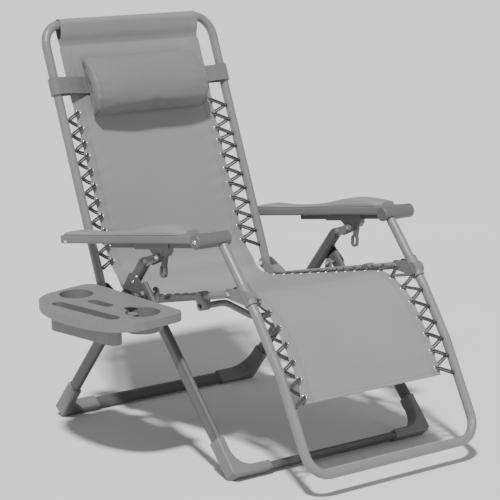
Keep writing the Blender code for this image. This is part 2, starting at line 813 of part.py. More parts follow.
def tray_outline():
    """Plan view: straight beside the chair, a long curve outside."""
    middle = (TRAY_REAR_Y + TRAY_FRONT_Y) / 2
    half = (TRAY_REAR_Y - TRAY_FRONT_Y) / 2
    depth = TRAY_INNER_X - TRAY_OUTER_X
    shoulder = 0.070
    points = []
    steps = 20
    for step in range(steps + 1):
        angle = math.pi * step / steps
        bow = math.sin(angle) ** 0.55 if 0 < step < steps else 0.0
        points.append((TRAY_INNER_X - shoulder - (depth - shoulder) * bow, middle - half * math.cos(angle)))
    corner = 0.030
    for centre_y, start in ((TRAY_REAR_Y - corner, 90), (TRAY_FRONT_Y + corner, 0)):
        for step in range(5):
            angle = math.radians(start - 90 * step / 4)
            x = TRAY_INNER_X - corner + corner * math.cos(angle)
            points.append((x, centre_y + corner * math.sin(angle)))
    return points


def flat_solid(outline, low_z, high_z):
    bm = bmesh.new()
    low = [bm.verts.new((x, y, low_z)) for x, y in outline]
    high = [bm.verts.new((x, y, high_z)) for x, y in outline]
    bridge_rings(bm, [low, high])
    return bm


def shrink(outline, distance):
    """Move a plan outline inwards by a distance."""
    count = len(outline)
    following = outline[1:] + outline[:1]
    area = sum(a[0] * b[1] - b[0] * a[1] for a, b in zip(outline, following))
    sign = 1.0 if area > 0 else -1.0
    moved = []
    for i in range(count):
        ahead = Vector(outline[(i + 1) % count]) - Vector(outline[i - 1])
        inward = Vector((-ahead[1], ahead[0])).normalized() * sign
        moved.append(tuple(Vector(outline[i]) + inward * distance))
    return moved


def tray_piece(name, outline, low_z, high_z):
    return make_object(f"tray_{name}", flat_solid(outline, low_z, high_z), plastic)


def turned_box(centre, length, width, angle, steps=5):
    """Plan outline of a slot with rounded ends, its length along Y before it is turned."""
    straight = length / 2 - width / 2
    heading = math.radians(angle)
    points = []
    for end in (1, -1):
        for step in range(steps + 1):
            bend = math.pi * step / steps
            x = end * width / 2 * math.cos(bend)
            y = end * (straight + width / 2 * math.sin(bend))
            across_x = x * math.cos(heading) - y * math.sin(heading)
            across_y = x * math.sin(heading) + y * math.cos(heading)
            points.append((centre[0] + across_x, centre[1] + across_y))
    return points


def plan_circle(centre, radius):
    return [(centre[0] + a, centre[1] + b) for a, b in circle(radius, 28)]


def tray():
    """A rimmed plate with two cup wells, two pockets for flat things and a notch for a stem."""
    outline = tray_outline()
    top = TRAY_Z
    wall = 0.0030
    item = tray_piece("plate", outline, top - TRAY_DEPTH, top)
    item.name = "tray"
    cut(item, as_cutter(tray_piece("under", shrink(outline, wall), top - TRAY_DEPTH - 0.01, top - wall)))
    for name, (centre, length, width, angle, depth) in POCKETS.items():
        outer = turned_box(centre, length + 2 * wall, width + 2 * wall, angle)
        join(item, tray_piece(f"{name}_wall", outer, top - depth, top - 0.0004))
        inner = turned_box(centre, length, width, angle)
        cut(item, as_cutter(tray_piece(f"{name}_hollow", inner, top - depth + wall, top + 0.01)))
    for name, centre in CUPS.items():
        rim = plan_circle(centre, CUP_R + 0.0022)
        join(item, tray_piece(f"{name}_wall", rim, top - CUP_DEPTH, top - 0.0004))
    notch = turned_box((CUPS["front_cup"][0], CUPS["front_cup"][1] + 0.034), 0.066, 0.034, 3.0)
    cut(item, as_cutter(tray_piece("notch", notch, top - 0.0180, top + 0.01)))
    for name, centre in CUPS.items():
        well = plan_circle(centre, CUP_R)
        cut(item, as_cutter(tray_piece(f"{name}_hollow", well, top - CUP_DEPTH + 0.0024, top + 0.01)))
    return item


def leg_clip(name, middle_y, length, drop):
    """A moulded block that hangs under the tray's inner edge, beside a leg."""
    high = TRAY_Z - TRAY_DEPTH - 2 * GAP
    inner = -(LEG_X + LEG_THIN / 2 + 0.0004)
    low_corner = (TRAY_INNER_X - 0.022, middle_y - length / 2, high - drop)
    block = box(low_corner, (inner, middle_y + length / 2, high))
    return make_object(name, soften(block, 0.003, 1), plastic)


PIVOTS = {
    "front_leg_frame": HUB,
    "front_shoe": HUB,
    "hub_pin": HUB,
    "seat": HUB,
    "sling_seat": HUB,
    "cross_clamp": HUB,
    "hip_bracket": HUB,
    "hip_pin": HIP,
    "back": HIP,
    "sling_back": HIP,
    "knee_pin": KNEE,
    "knee_collar": KNEE,
    "leg": KNEE,
    "sling_leg": KNEE,
    "arm_pin": ARM_REAR,
    "armrest": ARM_REAR,
    "arm_pad": ARM_REAR,
    "arm_roll": ARM_REAR,
    "arm_track": ARM_REAR,
    "lock_pin": LOCK,
    "lock_housing": LOCK,
    "lock_lever": LEVER,
}


def place_on_axes():
    """Put each moving piece's origin on its joint axis, then move the chair over its own origin."""
    for item in bpy.context.scene.objects:
        pivot = Vector((0.0, 0.0))
        for start, value in PIVOTS.items():
            if item.name.startswith(start):
                pivot = value
        offset = side_point(0.0, pivot)
        if item.name.startswith("tray"):
            offset = Vector((TRAY_INNER_X, 0.0, TRAY_Z))
            item.rotation_euler = (0.0, TRAY_TILT, 0.0)
        item.data.transform(Matrix.Translation(-offset))
        item.location = offset - ORIGIN


def build():
    clear_scene()
    back = back_frame()
    leg = leg_frame()
    seat_cross_bar()
    rear_leg, rear_cutter = floor_frame("rear_leg_frame", REAR_FOOT, REAR_LEG_TOP)
    hub_top = HUB + (HUB - FRONT_FOOT).normalized() * 0.024
    front_leg, front_cutter = floor_frame("front_leg_frame", FRONT_FOOT, hub_top)
    for side_name, side in SIDES.items():
        shoe(f"rear_shoe_{side_name}", side, REAR_FOOT, REAR_LEG_TOP, rear_cutter)
        shoe(f"front_shoe_{side_name}", side, FRONT_FOOT, hub_top, front_cutter)
        rail = seat_rail(side_name, side)
        cross_clamp(side_name, side)
        plate = hub_plate(side_name, side)
        hanger = seat_hanger(side_name, side)
        hip = hip_bracket(side_name, side)
        collar = knee_collar(side_name, side)
        fork = arm_bracket(side_name, side)
        arm = armrest(side_name, side)
        arm_pad(side_name, side)
        arm_roll(side_name, side)
        arm_track(side_name, side)
        housing = lock_housing(side_name, side)
        lock_lever(side_name, side)
        hub_hole = drill(f"hub_drill_{side_name}", HUB, side * 0.28, side * 0.38)
        hip_hole = drill(f"hip_drill_{side_name}", HIP, side * 0.26, side * 0.33)
        knee_hole = drill(f"knee_drill_{side_name}", KNEE, side * 0.26, side * 0.33)
        arm_hole = drill(f"arm_drill_{side_name}", ARM_REAR, side * 0.26, side * 0.40)
        lock_hole = drill(f"lock_drill_{side_name}", LOCK, side * 0.31, side * 0.37)
        cut(plate, hub_hole)
        cut(hanger, hub_hole)
        cut(front_leg, hub_hole)
        cut(hip, hip_hole)
        cut(back, hip_hole, arm_hole)
        cut(collar, knee_hole)
        cut(rail, knee_hole)
        cut(arm, arm_hole)
        cut(fork, lock_hole)
        cut(rear_leg, drill(f"rivet_drill_{side_name}", BRACKET_RIVET, side * 0.31, side * 0.37))
        cut(rear_leg, leg_top_cutter(side_name, side))
        cut(housing, lock_hole)
        pin(f"hub_pin_{side_name}", HUB, side, 0.3051, 0.3518)
        pin(f"hip_pin_{side_name}", HIP, side, 0.2779, 0.3121)
        pin(f"knee_pin_{side_name}", KNEE, side, 0.2779, 0.3121)
        pin(f"arm_pin_{side_name}", ARM_REAR, side, 0.2822, 0.3772)
        pin(f"lock_pin_{side_name}", LOCK, side, LEG_X - 0.0125, LEG_X + 0.0125)
        front = side_point(0, Vector((-BACK_DIR[1], BACK_DIR[0])))
        heading = leg_line()[1]
        lacing(f"back_lace_{side_name}", side, back_eyelets(), front)
        lacing(f"seat_lace_{side_name}", side, seat_eyelets(), Vector((0, 0.215, 0.9766)))
        lacing(f"leg_lace_{side_name}", side, leg_eyelets(), Vector((0, heading[1], -heading[0])))
    sling_back()
    sling_seat()
    sling_leg()
    pillow()
    pillow_strap()
    tray()
    leg_clip("leg_clip_rear", REAR_CLIP_Y, 0.050, 0.036)
    leg_clip("leg_clip_front", FRONT_CLIP_Y, 0.052, 0.048)
    place_on_axes()


build()
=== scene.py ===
import json
import math

import bmesh
import bpy
import numpy as np
from mathutils import Matrix, Vector
from mathutils.bvhtree import BVHTree


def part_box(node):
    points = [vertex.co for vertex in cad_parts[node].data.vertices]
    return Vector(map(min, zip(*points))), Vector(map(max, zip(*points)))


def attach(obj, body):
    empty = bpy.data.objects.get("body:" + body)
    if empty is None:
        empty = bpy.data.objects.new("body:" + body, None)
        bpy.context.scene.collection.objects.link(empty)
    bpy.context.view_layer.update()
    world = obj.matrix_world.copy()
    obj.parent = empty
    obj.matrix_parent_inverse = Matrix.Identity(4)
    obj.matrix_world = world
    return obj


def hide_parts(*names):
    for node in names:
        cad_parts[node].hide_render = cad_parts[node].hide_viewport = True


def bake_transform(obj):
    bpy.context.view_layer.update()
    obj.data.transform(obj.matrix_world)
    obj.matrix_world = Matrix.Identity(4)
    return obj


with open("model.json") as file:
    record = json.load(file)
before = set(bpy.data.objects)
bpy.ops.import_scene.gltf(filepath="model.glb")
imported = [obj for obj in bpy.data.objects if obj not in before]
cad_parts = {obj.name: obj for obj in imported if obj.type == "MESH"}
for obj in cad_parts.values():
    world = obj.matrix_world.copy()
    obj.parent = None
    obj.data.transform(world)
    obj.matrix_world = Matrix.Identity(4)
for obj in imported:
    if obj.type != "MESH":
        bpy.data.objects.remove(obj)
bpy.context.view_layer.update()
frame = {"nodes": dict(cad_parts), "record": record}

# The chair's own side view: (y, z) in metres, with the origin of the drawing set back so that
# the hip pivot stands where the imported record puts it.
JOINTS = {joint["name"]: joint for joint in frame["record"]["behaviour"]["joints"]}
HIP_DRAWN = (0.289, 0.375)
RAIL_LOW, RAIL_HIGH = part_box("back_frame")
MIDDLE_X = (RAIL_LOW.x + RAIL_HIGH.x) / 2
HIP_PACKED = Vector(JOINTS["back_recline"]["pos_m"])
SHIFT = Vector((MIDDLE_X, HIP_PACKED.y - HIP_DRAWN[0], HIP_PACKED.z - HIP_DRAWN[1]))

TUBE_R = 0.0125
SEAT_TUBE_R = 0.0100
HOOK_GAP = 0.0040
RAIL_X = (RAIL_HIGH.x - RAIL_LOW.x) / 2 - TUBE_R
BACK_ANGLE = math.radians(67.3)
BACK_UP = np.array((math.cos(BACK_ANGLE), math.sin(BACK_ANGLE)))
BACK_FRONT = np.array((-BACK_UP[1], BACK_UP[0]))
HIP = np.array(HIP_DRAWN)
BAR_S = 0.733
HEM_S = 0.673
SHEET_HALF = 0.246
HEM_HALF = 0.242
EYELET_X = 0.2327
SIDE_SEAM = 0.2108
NO_TOP_HEM = -1.0
STEP = 0.006
SIDES = {"left": -1.0, "right": 1.0}


def place(x, yz):
    """A side-view point (y, z) at distance x from the centre plane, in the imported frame."""
    return SHIFT + Vector((x, yz[0], yz[1]))


def back_at(along, off):
    return HIP + BACK_UP * along + BACK_FRONT * off


def smooth_line(points, step):
    """A Catmull-Rom line through the points, at an even spacing."""
    points = [np.array(p, float) for p in points]
    points = [2 * points[0] - points[1]] + points + [2 * points[-1] - points[-2]]
    dense = []
    for a, b, c, d in zip(points, points[1:], points[2:], points[3:]):
        for t in np.linspace(0, 1, 24, endpoint=False):
            square = (2 * a - 5 * b + 4 * c - d) * t**2
            cube = (3 * b - a - 3 * c + d) * t**3
            dense.append(0.5 * (2 * b + (c - a) * t + square + cube))
    dense.append(points[-2])
    return even(np.array(dense), step)


def even(points, step):
    lengths = np.concatenate(([0.0], np.cumsum(np.linalg.norm(np.diff(points, axis=0), axis=1))))
    count = max(2, int(round(lengths[-1] / step)) + 1)
    at = np.linspace(0, lengths[-1], count)
    return np.stack([np.interp(at, lengths, points[:, k]) for k in range(points.shape[1])], axis=1)


def rounded_line(corners, radii, step):
    """Straight runs joined by rounded corners."""
    corners = [np.array(c, float) for c in corners]
    points = [corners[0]]
    for before, corner, after, radius in zip(corners, corners[1:], corners[2:], radii):
        back = (before - corner) / np.linalg.norm(before - corner)
        ahead = (after - corner) / np.linalg.norm(after - corner)
        turn = math.pi - math.acos(float(np.clip(back @ ahead, -1, 1)))
        reach = radius * math.tan(turn / 2)
        first, last = corner + back * reach, corner + ahead * reach
        for t in np.linspace(0, 1, 9):
            points.append((1 - t) ** 2 * first + 2 * t * (1 - t) * corner + t**2 * last)
    points.append(corners[-1])
    return even(np.array(points), step)


# ---------------------------------------------------------------- materials


class Graph:
    """A material's node tree, with one short call for each kind of node used here."""

    def __init__(self, name, **sockets):
        self.material = bpy.data.materials.new(name)
        self.material.use_nodes = True
        self.tree = self.material.node_tree
        self.shader = self.tree.nodes["Principled BSDF"]
        for socket, value in sockets.items():
            self.shader.inputs[socket.replace("_", " ")].default_value = value

    def feed(self, socket, value):
        if isinstance(value, bpy.types.NodeSocket):
            self.tree.links.new(value, socket)
        else:
            socket.default_value = value

    def coords(self, kind="Object"):
        return self.tree.nodes.new("ShaderNodeTexCoord").outputs[kind]

    def split(self, vector):
        node = self.tree.nodes.new("ShaderNodeSeparateXYZ")
        self.feed(node.inputs[0], vector)
        return node.outputs

    def join(self, x, y, z=0.0):
        node = self.tree.nodes.new("ShaderNodeCombineXYZ")
        for socket, value in zip(node.inputs, (x, y, z)):
            self.feed(socket, value)
        return node.outputs[0]

    def math(self, operation, *values, clamp=False):
        node = self.tree.nodes.new("ShaderNodeMath")
        node.operation = operation
        node.use_clamp = clamp
        for socket, value in zip(node.inputs, values):
            self.feed(socket, value)
        return node.outputs[0]

    def stretch(self, vector, scale):
        node = self.tree.nodes.new("ShaderNodeMapping")
        self.feed(node.inputs["Vector"], vector)
        node.inputs["Scale"].default_value = scale
        return node.outputs[0]

    def noise(self, vector, scale, detail=2.0, roughness=0.5):
        node = self.tree.nodes.new("ShaderNodeTexNoise")
        self.feed(node.inputs["Vector"], vector)
        node.inputs["Scale"].default_value = scale
        node.inputs["Detail"].default_value = detail
        node.inputs["Roughness"].default_value = roughness
        return node.outputs[0]

    def cells(self, vector, scale):
        node = self.tree.nodes.new("ShaderNodeTexVoronoi")
        self.feed(node.inputs["Vector"], vector)
        node.inputs["Scale"].default_value = scale
        return node.outputs["Distance"]

    def between(self, value, low, high, to_low=0.0, to_high=1.0):
        node = self.tree.nodes.new("ShaderNodeMapRange")
        node.interpolation_type = "SMOOTHSTEP"
        for socket, number in zip(node.inputs, (value, low, high, to_low, to_high)):
            self.feed(socket, number)
        return node.outputs[0]

    def blend(self, factor, first, second):
        node = self.tree.nodes.new("ShaderNodeMix")
        node.data_type = "RGBA"
        self.feed(node.inputs[0], factor)
        self.feed(node.inputs[6], first)
        self.feed(node.inputs[7], second)
        return node.outputs[2]

    def shade(self, value, dark, light):
        """From one grey to another as value goes from 0 to 1."""
        return self.blend(value, (*dark, 1.0), (*light, 1.0))

    def bump(self, height, strength, distance, under=None):
        node = self.tree.nodes.new("ShaderNodeBump")
        node.inputs["Strength"].default_value = strength
        node.inputs["Distance"].default_value = distance
        self.feed(node.inputs["Height"], height)
        if under is not None:
            self.feed(node.inputs["Normal"], under)
        return node.outputs[0]

    def finish(self, colour=None, roughness=None, normal=None):
        for name, value in (("Base Color", colour), ("Roughness", roughness), ("Normal", normal)):
            if value is not None:
                self.feed(self.shader.inputs[name], value)
        return self.material


def grey(level, warmth=0.0):
    return (level * (1 + warmth), level, level * (1 - warmth))


def powder_coat(name, level, scuffed):
    """Satin powder coat: fine orange peel, faint cloudiness and a few rubbed patches."""
    g = Graph(name, Coat_Weight=0.12, Coat_Roughness=0.30)
    at = g.coords()
    cloud = g.noise(at, 22.0, 3.0, 0.6)
    speckle = g.noise(at, 420.0, 2.0, 0.6)
    colour = g.shade(cloud, grey(level * 0.93, 0.012), grey(level * 1.06, 0.012))
    colour = g.blend(g.math("MULTIPLY", speckle, 0.12), colour, (*grey(level * 0.6), 1.0))
    rub = g.between(g.noise(at, 55.0, 5.0, 0.72), 0.64, 0.72, 0.0, scuffed)
    colour = g.blend(rub, colour, (*grey(level * 1.5), 1.0))
    rough = g.math("ADD", g.math("MULTIPLY", cloud, 0.14), g.math("MULTIPLY_ADD", rub, 0.15, 0.30))
    peel = g.bump(g.noise(at, 700.0, 2.0, 0.5), 0.10, 0.0004)
    return g.finish(colour, rough, peel)


def moulded(name, level, grain=0.20, rough=0.50):
    """Injection-moulded plastic with a spark-eroded grain and slightly lighter rubbed patches."""
    g = Graph(name, Specular_IOR_Level=0.45)
    at = g.coords()
    cloud = g.noise(at, 14.0, 3.0, 0.55)
    colour = g.shade(cloud, grey(level * 0.92, 0.008), grey(level * 1.08, 0.008))
    rub = g.between(g.noise(at, 38.0, 6.0, 0.75), 0.62, 0.74, 0.0, 0.35)
    colour = g.blend(rub, colour, (*grey(level * 1.35), 1.0))
    pits = g.cells(at, 1100.0)
    fine = g.noise(at, 1900.0, 2.0, 0.6)
    height = g.math("ADD", g.math("MULTIPLY", pits, 0.7), g.math("MULTIPLY", fine, 0.5))
    roughness = g.math("ADD", g.math("MULTIPLY", cloud, 0.12), rough - 0.06)
    return g.finish(colour, roughness, g.bump(height, grain, 0.0005))


def plated_steel(name):
    g = Graph(name, Metallic=1.0)
    at = g.coords()
    streak = g.noise(g.stretch(at, (60.0, 900.0, 900.0)), 1.0, 3.0, 0.6)
    cloud = g.noise(at, 90.0, 3.0, 0.6)
    colour = g.shade(cloud, grey(0.66), grey(0.82))
    rough = g.math("MULTIPLY_ADD", streak, 0.16, 0.18)
    return g.finish(colour, rough, g.bump(streak, 0.06, 0.0002))


def woven(g, u, v, pitch):
    """A plain weave's height, 0 to 1, and how near a point is to a warp and a weft thread's crown."""
    turn = math.pi / pitch
    across = g.math("SINE", g.math("MULTIPLY", u, turn))
    along = g.math("SINE", g.math("MULTIPLY", v, turn))
    over = g.math("MULTIPLY", across, along)
    warp = g.math("ABSOLUTE", across)
    weft = g.math("ABSOLUTE", along)
    return g.math("MULTIPLY_ADD", over, 0.5, 0.5), warp, weft


def sling_cloth(name, level, cross_seams, end_band):
    """PVC-coated mesh on the sheet's own flat coordinates: weave, uneven threads, sewn seams, with painted
    shade in the weave's gaps and the seams' valleys and a painted highlight on the thread crowns.

    cross_seams and end_band, where the doubled top hem ends, are lengths along the sheet.
    """
    g = Graph(name, Specular_IOR_Level=0.38, Sheen_Weight=0.10, Sheen_Roughness=0.45)
    flat = g.split(g.coords("UV"))
    u, v = flat[0], flat[1]
    pair = g.join(u, v)
    over, warp, weft = woven(g, u, v, 0.0019)
    thread_u = g.noise(g.stretch(pair, (620.0, 9.0, 1.0)), 1.0, 2.0, 0.5)
    thread_v = g.noise(g.stretch(pair, (9.0, 620.0, 1.0)), 1.0, 2.0, 0.5)
    cloud = g.noise(pair, 5.0, 4.0, 0.55)
    slub = g.math("ADD", g.math("MULTIPLY", thread_u, 0.5), g.math("MULTIPLY", thread_v, 0.5))
    tone = g.math("ADD", g.math("MULTIPLY", slub, 0.55), g.math("MULTIPLY", cloud, 0.45))
    colour = g.shade(tone, grey(level * 0.86, 0.004), grey(level * 1.14, 0.004))
    # Painted shade: the gaps between the threads are darkened.
    painted_gap_shade = g.math("MULTIPLY", g.math("SUBTRACT", 1.0, warp), g.math("SUBTRACT", 1.0, weft))
    colour = g.blend(g.math("MULTIPLY", painted_gap_shade, 0.55), colour, (*grey(level * 0.25), 1.0))
    # Painted highlight: the crowns of the weave are lightened.
    colour = g.blend(g.math("MULTIPLY", over, 0.16), colour, (*grey(level * 1.35), 1.0))
    # Seams: a puckered valley darkened as painted shade, with stitches that come up every few millimetres.
    aside = g.math("ABSOLUTE", u)
    runs = [(g.math("ABSOLUTE", g.math("SUBTRACT", aside, SIDE_SEAM)), v)]
    runs += [(g.math("ABSOLUTE", g.math("SUBTRACT", v, seam)), u) for seam in cross_seams]
    valley = None
    stitch = None
    for gap, along in runs:
        low = g.between(gap, 0.0, 0.0022, 1.0, 0.0)
        beat = g.math("SINE", g.math("MULTIPLY", along, 2 * math.pi / 0.0042))
        mark = g.math("MULTIPLY", g.between(gap, 0.0003, 0.0007, 1.0, 0.0), g.between(beat, -0.45, -0.15))
        valley = low if valley is None else g.math("MAXIMUM", valley, low)
        stitch = mark if stitch is None else g.math("MAXIMUM", stitch, mark)
    band = g.between(v, end_band - 0.0008, end_band + 0.0008, 1.0, 0.0)
    doubled = g.math("MAXIMUM", band, g.between(aside, SIDE_SEAM - 0.0008, SIDE_SEAM + 0.0008))
    colour = g.blend(g.math("MULTIPLY", doubled, 0.14), colour, (*grey(level * 0.55), 1.0))
    # Painted shade along the seams' valleys.
    colour = g.blend(g.math("MULTIPLY", valley, 0.35), colour, (*grey(level * 0.45), 1.0))
    colour = g.blend(g.math("MULTIPLY", stitch, 0.8), colour, (*grey(level * 1.25), 1.0))
    rough = g.math("MULTIPLY_ADD", slub, 0.20, 0.50)
    height = g.math("ADD", over, g.math("MULTIPLY", slub, 0.6))
    normal = g.bump(height, 0.35, 0.0004)
    sewn = g.math("SUBTRACT", stitch, g.math("MULTIPLY", valley, 0.8))
    normal = g.bump(sewn, 0.60, 0.0009, normal)
    return g.finish(colour, rough, normal)


def pillow_cloth(name, level, axis_point, radius):
    """The same coated cloth in a finer weave, wrapped round the pillow's long axis."""
    g = Graph(name, Specular_IOR_Level=0.35, Sheen_Weight=0.15, Sheen_Roughness=0.45)
    x, y, z = g.split(g.coords())[0:3]
    dy = g.math("SUBTRACT", y, axis_point.y)
    dz = g.math("SUBTRACT", z, axis_point.z)
    arc = g.math("MULTIPLY", g.math("ARCTAN2", dz, dy), radius)
    over = woven(g, x, arc, 0.0017)[0]
    at = g.coords()
    cloud = g.noise(at, 9.0, 4.0, 0.55)
    slub = g.noise(g.stretch(at, (14.0, 420.0, 420.0)), 1.0, 2.0, 0.5)
    tone = g.math("ADD", g.math("MULTIPLY", slub, 0.5), g.math("MULTIPLY", cloud, 0.5))
    colour = g.shade(tone, grey(level * 0.88, 0.004), grey(level * 1.12, 0.004))
    # Painted highlight: the crowns of the weave are lightened.
    colour = g.blend(g.math("MULTIPLY", over, 0.14), colour, (*grey(level * 1.3), 1.0))
    height = g.math("ADD", over, g.math("MULTIPLY", slub, 0.5))
    normal = g.bump(height, 0.30, 0.0004)
    normal = g.bump(g.noise(at, 60.0, 3.0, 0.6), 0.10, 0.004, normal)
    return g.finish(colour, g.math("MULTIPLY_ADD", slub, 0.15, 0.55), normal)


def webbing(name, level, along_axis):
    """Ribbed elastic webbing whose ribs run across the chair."""
    g = Graph(name, Sheen_Weight=0.15, Sheen_Roughness=0.5)
    x, y, z = g.split(g.coords())[0:3]
    lift = g.math(
        "ADD",
        g.math("MULTIPLY", y, float(along_axis[0])),
        g.math("MULTIPLY", z, float(along_axis[1])),
    )
    over = woven(g, x, lift, 0.0016)[0]
    rib = g.math("ABSOLUTE", g.math("SINE", g.math("MULTIPLY", lift, math.pi / 0.0048)))
    cloud = g.noise(g.coords(), 30.0, 3.0, 0.6)
    colour = g.shade(cloud, grey(level * 0.85), grey(level * 1.12))
    # Painted highlight: the crowns of the ribs are lightened.
    colour = g.blend(g.math("MULTIPLY", rib, 0.22), colour, (*grey(level * 1.4), 1.0))
    height = g.math("ADD", g.math("MULTIPLY", over, 0.5), rib)
    return g.finish(colour, g.math("MULTIPLY_ADD", cloud, 0.15, 0.62), g.bump(height, 0.45, 0.0006))


def braided_cord(name, level):
    """Braided elastic: crossed strands, with painted shade and highlight over the plait and a painted glint
    every few strands.
    """
    g = Graph(name, Coat_Weight=0.35, Coat_Roughness=0.28, Specular_IOR_Level=0.5)
    flat = g.split(g.coords("UV"))
    u, v = flat[0], flat[1]
    turn = math.pi / 0.0011
    one = g.math("SINE", g.math("MULTIPLY", g.math("ADD", u, v), turn))
    two = g.math("SINE", g.math("MULTIPLY", g.math("SUBTRACT", u, v), turn))
    plait = g.math("MULTIPLY_ADD", g.math("MULTIPLY", one, two), 0.5, 0.5)
    painted_glint = g.math("SINE", g.math("MULTIPLY", g.math("ADD", u, v), turn / 4))
    # Painted shade and highlight: darker between the strands and lighter on their crowns.
    colour = g.shade(plait, grey(level * 0.6), grey(level * 1.3))
    # Painted glints: a bright streak every fourth strand.
    colour = g.blend(g.between(painted_glint, 0.55, 0.85, 0.0, 0.75), colour, (*grey(level * 4.0), 1.0))
    return g.finish(colour, g.math("MULTIPLY_ADD", plait, 0.2, 0.42), g.bump(plait, 0.5, 0.0004))


def floor_material(name):
    g = Graph(name, Roughness=0.85)
    at = g.coords()
    cloud = g.noise(at, 0.9, 4.0, 0.55)
    colour = g.shade(cloud, grey(0.70, 0.006), grey(0.78, 0.006))
    return g.finish(colour, None, g.bump(g.noise(at, 130.0, 3.0, 0.6), 0.05, 0.002))


PAINT = powder_coat("frame_paint", 0.200, 0.25)
LEG_PAINT = powder_coat("leg_paint", 0.090, 0.30)
PLASTIC = moulded("grey_plastic", 0.170)
SHOE_PLASTIC = moulded("shoe_plastic", 0.170, 0.26, 0.48)
PAD_PLASTIC = moulded("arm_pad_plastic", 0.240, 0.22, 0.50)
TRAY_PLASTIC = moulded("tray_plastic", 0.185, 0.24, 0.46)
ROLL_PLASTIC = moulded("roll_plastic", 0.120, 0.16, 0.42)
STEEL = plated_steel("plated_steel")
CORD = braided_cord("elastic_braid", 0.034)
HOOK = moulded("hook_plastic", 0.060, 0.15, 0.40)
WEBBING = webbing("pillow_webbing", 0.135, BACK_UP)

# ---------------------------------------------------------------- mesh helpers


def mesh_object(name, verts, faces, material, uvs=None, smooth=True):
    mesh = bpy.data.meshes.new(name)
    mesh.from_pydata([tuple(map(float, v)) for v in verts], [], faces)
    if uvs is not None:
        layer = mesh.uv_layers.new(name="flat")
        corners = np.array([loop.vertex_index for loop in mesh.loops])
        layer.data.foreach_set("uv", np.array(uvs, np.float32)[corners].ravel())
    mesh.polygons.foreach_set("use_smooth", [smooth] * len(mesh.polygons))
    mesh.materials.append(material)
    item = bpy.data.objects.new(name, mesh)
    bpy.context.scene.collection.objects.link(item)
    return item


class Batch:
    """Several small solids gathered into one mesh."""

    def __init__(self):
        self.verts, self.faces, self.uvs = [], [], []

    def add(self, verts, faces, uvs=None):
        base = len(self.verts)
        self.verts += [tuple(v) for v in verts]
        self.faces += [tuple(base + i for i in face) for face in faces]
        self.uvs += [tuple(uv) for uv in uvs] if uvs is not None else [(0.0, 0.0)] * len(verts)

    def tube(self, path, radius, sides=8, closed=False):
        """A tube round a path of 3-D points. Its texture coordinates are metres round and along."""
        path = np.array(path, float)
        count = len(path)
        ahead = np.roll(path, -1, 0) - np.roll(path, 1, 0)
        if not closed:
            ahead[0] = path[1] - path[0]
            ahead[-1] = path[-1] - path[-2]
        ahead /= np.linalg.norm(ahead, axis=1)[:, None]
        start = np.cross(ahead[0], (0.0, 0.0, 1.0))
        if np.linalg.norm(start) < 0.1:
            start = np.cross(ahead[0], (1.0, 0.0, 0.0))
        first = start / np.linalg.norm(start)
        run = 0.0
        verts, uvs = [], []
        for i in range(count):
            first = first - ahead[i] * (first @ ahead[i])
            first /= np.linalg.norm(first)
            second = np.cross(ahead[i], first)
            if i:
                run += np.linalg.norm(path[i] - path[i - 1])
            for k in range(sides):
                angle = 2 * math.pi * k / sides
                verts.append(path[i] + radius * (first * math.cos(angle) + second * math.sin(angle)))
                uvs.append((angle * radius, run))
        faces = []
        for i in range(count if closed else count - 1):
            near, far = i * sides, ((i + 1) % count) * sides
            for k in range(sides):
                n = (k + 1) % sides
                faces.append((near + k, near + n, far + n, far + k))
        if not closed:
            faces.append(tuple(range(sides))[::-1])
            faces.append(tuple((count - 1) * sides + k for k in range(sides)))
        self.add(verts, faces, uvs)

    def turned(self, centre, axis, profile, sides=16):
        """A turned solid: (radius, height) pairs round an axis."""
        axis = Vector(axis).normalized()
        side = axis.orthogonal().normalized()
        other = axis.cross(side)
        verts, faces = [], []
        for radius, height in profile:
            for k in range(sides):
                angle = 2 * math.pi * k / sides
                out = side * math.cos(angle) + other * math.sin(angle)
                verts.append(Vector(centre) + axis * height + out * radius)
        for i in range(len(profile) - 1):
            for k in range(sides):
                n = (k + 1) % sides
                faces.append((i * sides + k, i * sides + n, (i + 1) * sides + n, (i + 1) * sides + k))
        faces.append(tuple(range(sides))[::-1])
        faces.append(tuple((len(profile) - 1) * sides + k for k in range(sides)))
        self.add(verts, faces)

    def object(self, name, material):
        return mesh_object(name, self.verts, self.faces, material, self.uvs)


def dome(radius, height, flange=0.0):
    """The profile of a domed rivet head, from its seat to its crown."""
    steps = [math.pi / 2 * k / 5 for k in range(6)]
    profile = [(radius * math.cos(t) + 1e-5, flange + height * math.sin(t)) for t in steps]
    return ([(radius * 1.25, 0.0), (radius * 1.25, flange)] if flange else [(radius, -0.001)]) + profile


# ---------------------------------------------------------------- sling lines

BAR_WRAP_R = TUBE_R + 0.0022


def top_hem():
    """From the hem's rear edge, up and over the top bar, and down to its seam in front."""
    bar = HIP + BACK_UP * BAR_S
    points = [back_at(HEM_S + 0.003, -0.0126), back_at(HEM_S + 0.020, -0.0142)]
    points.append(back_at(BAR_S - 0.016, -0.0150))
    for turn in np.linspace(-84, 96, 11):
        angle = BACK_ANGLE + math.radians(turn)
        points.append(bar + BAR_WRAP_R * np.array((math.cos(angle), math.sin(angle))))
    points += [back_at(BAR_S - 0.030, 0.0040), back_at(HEM_S + 0.012, -0.0066), back_at(HEM_S, -0.0096)]
    return points


def seat_height(y):
    return 0.355 + (0.225 - y) * 0.2202


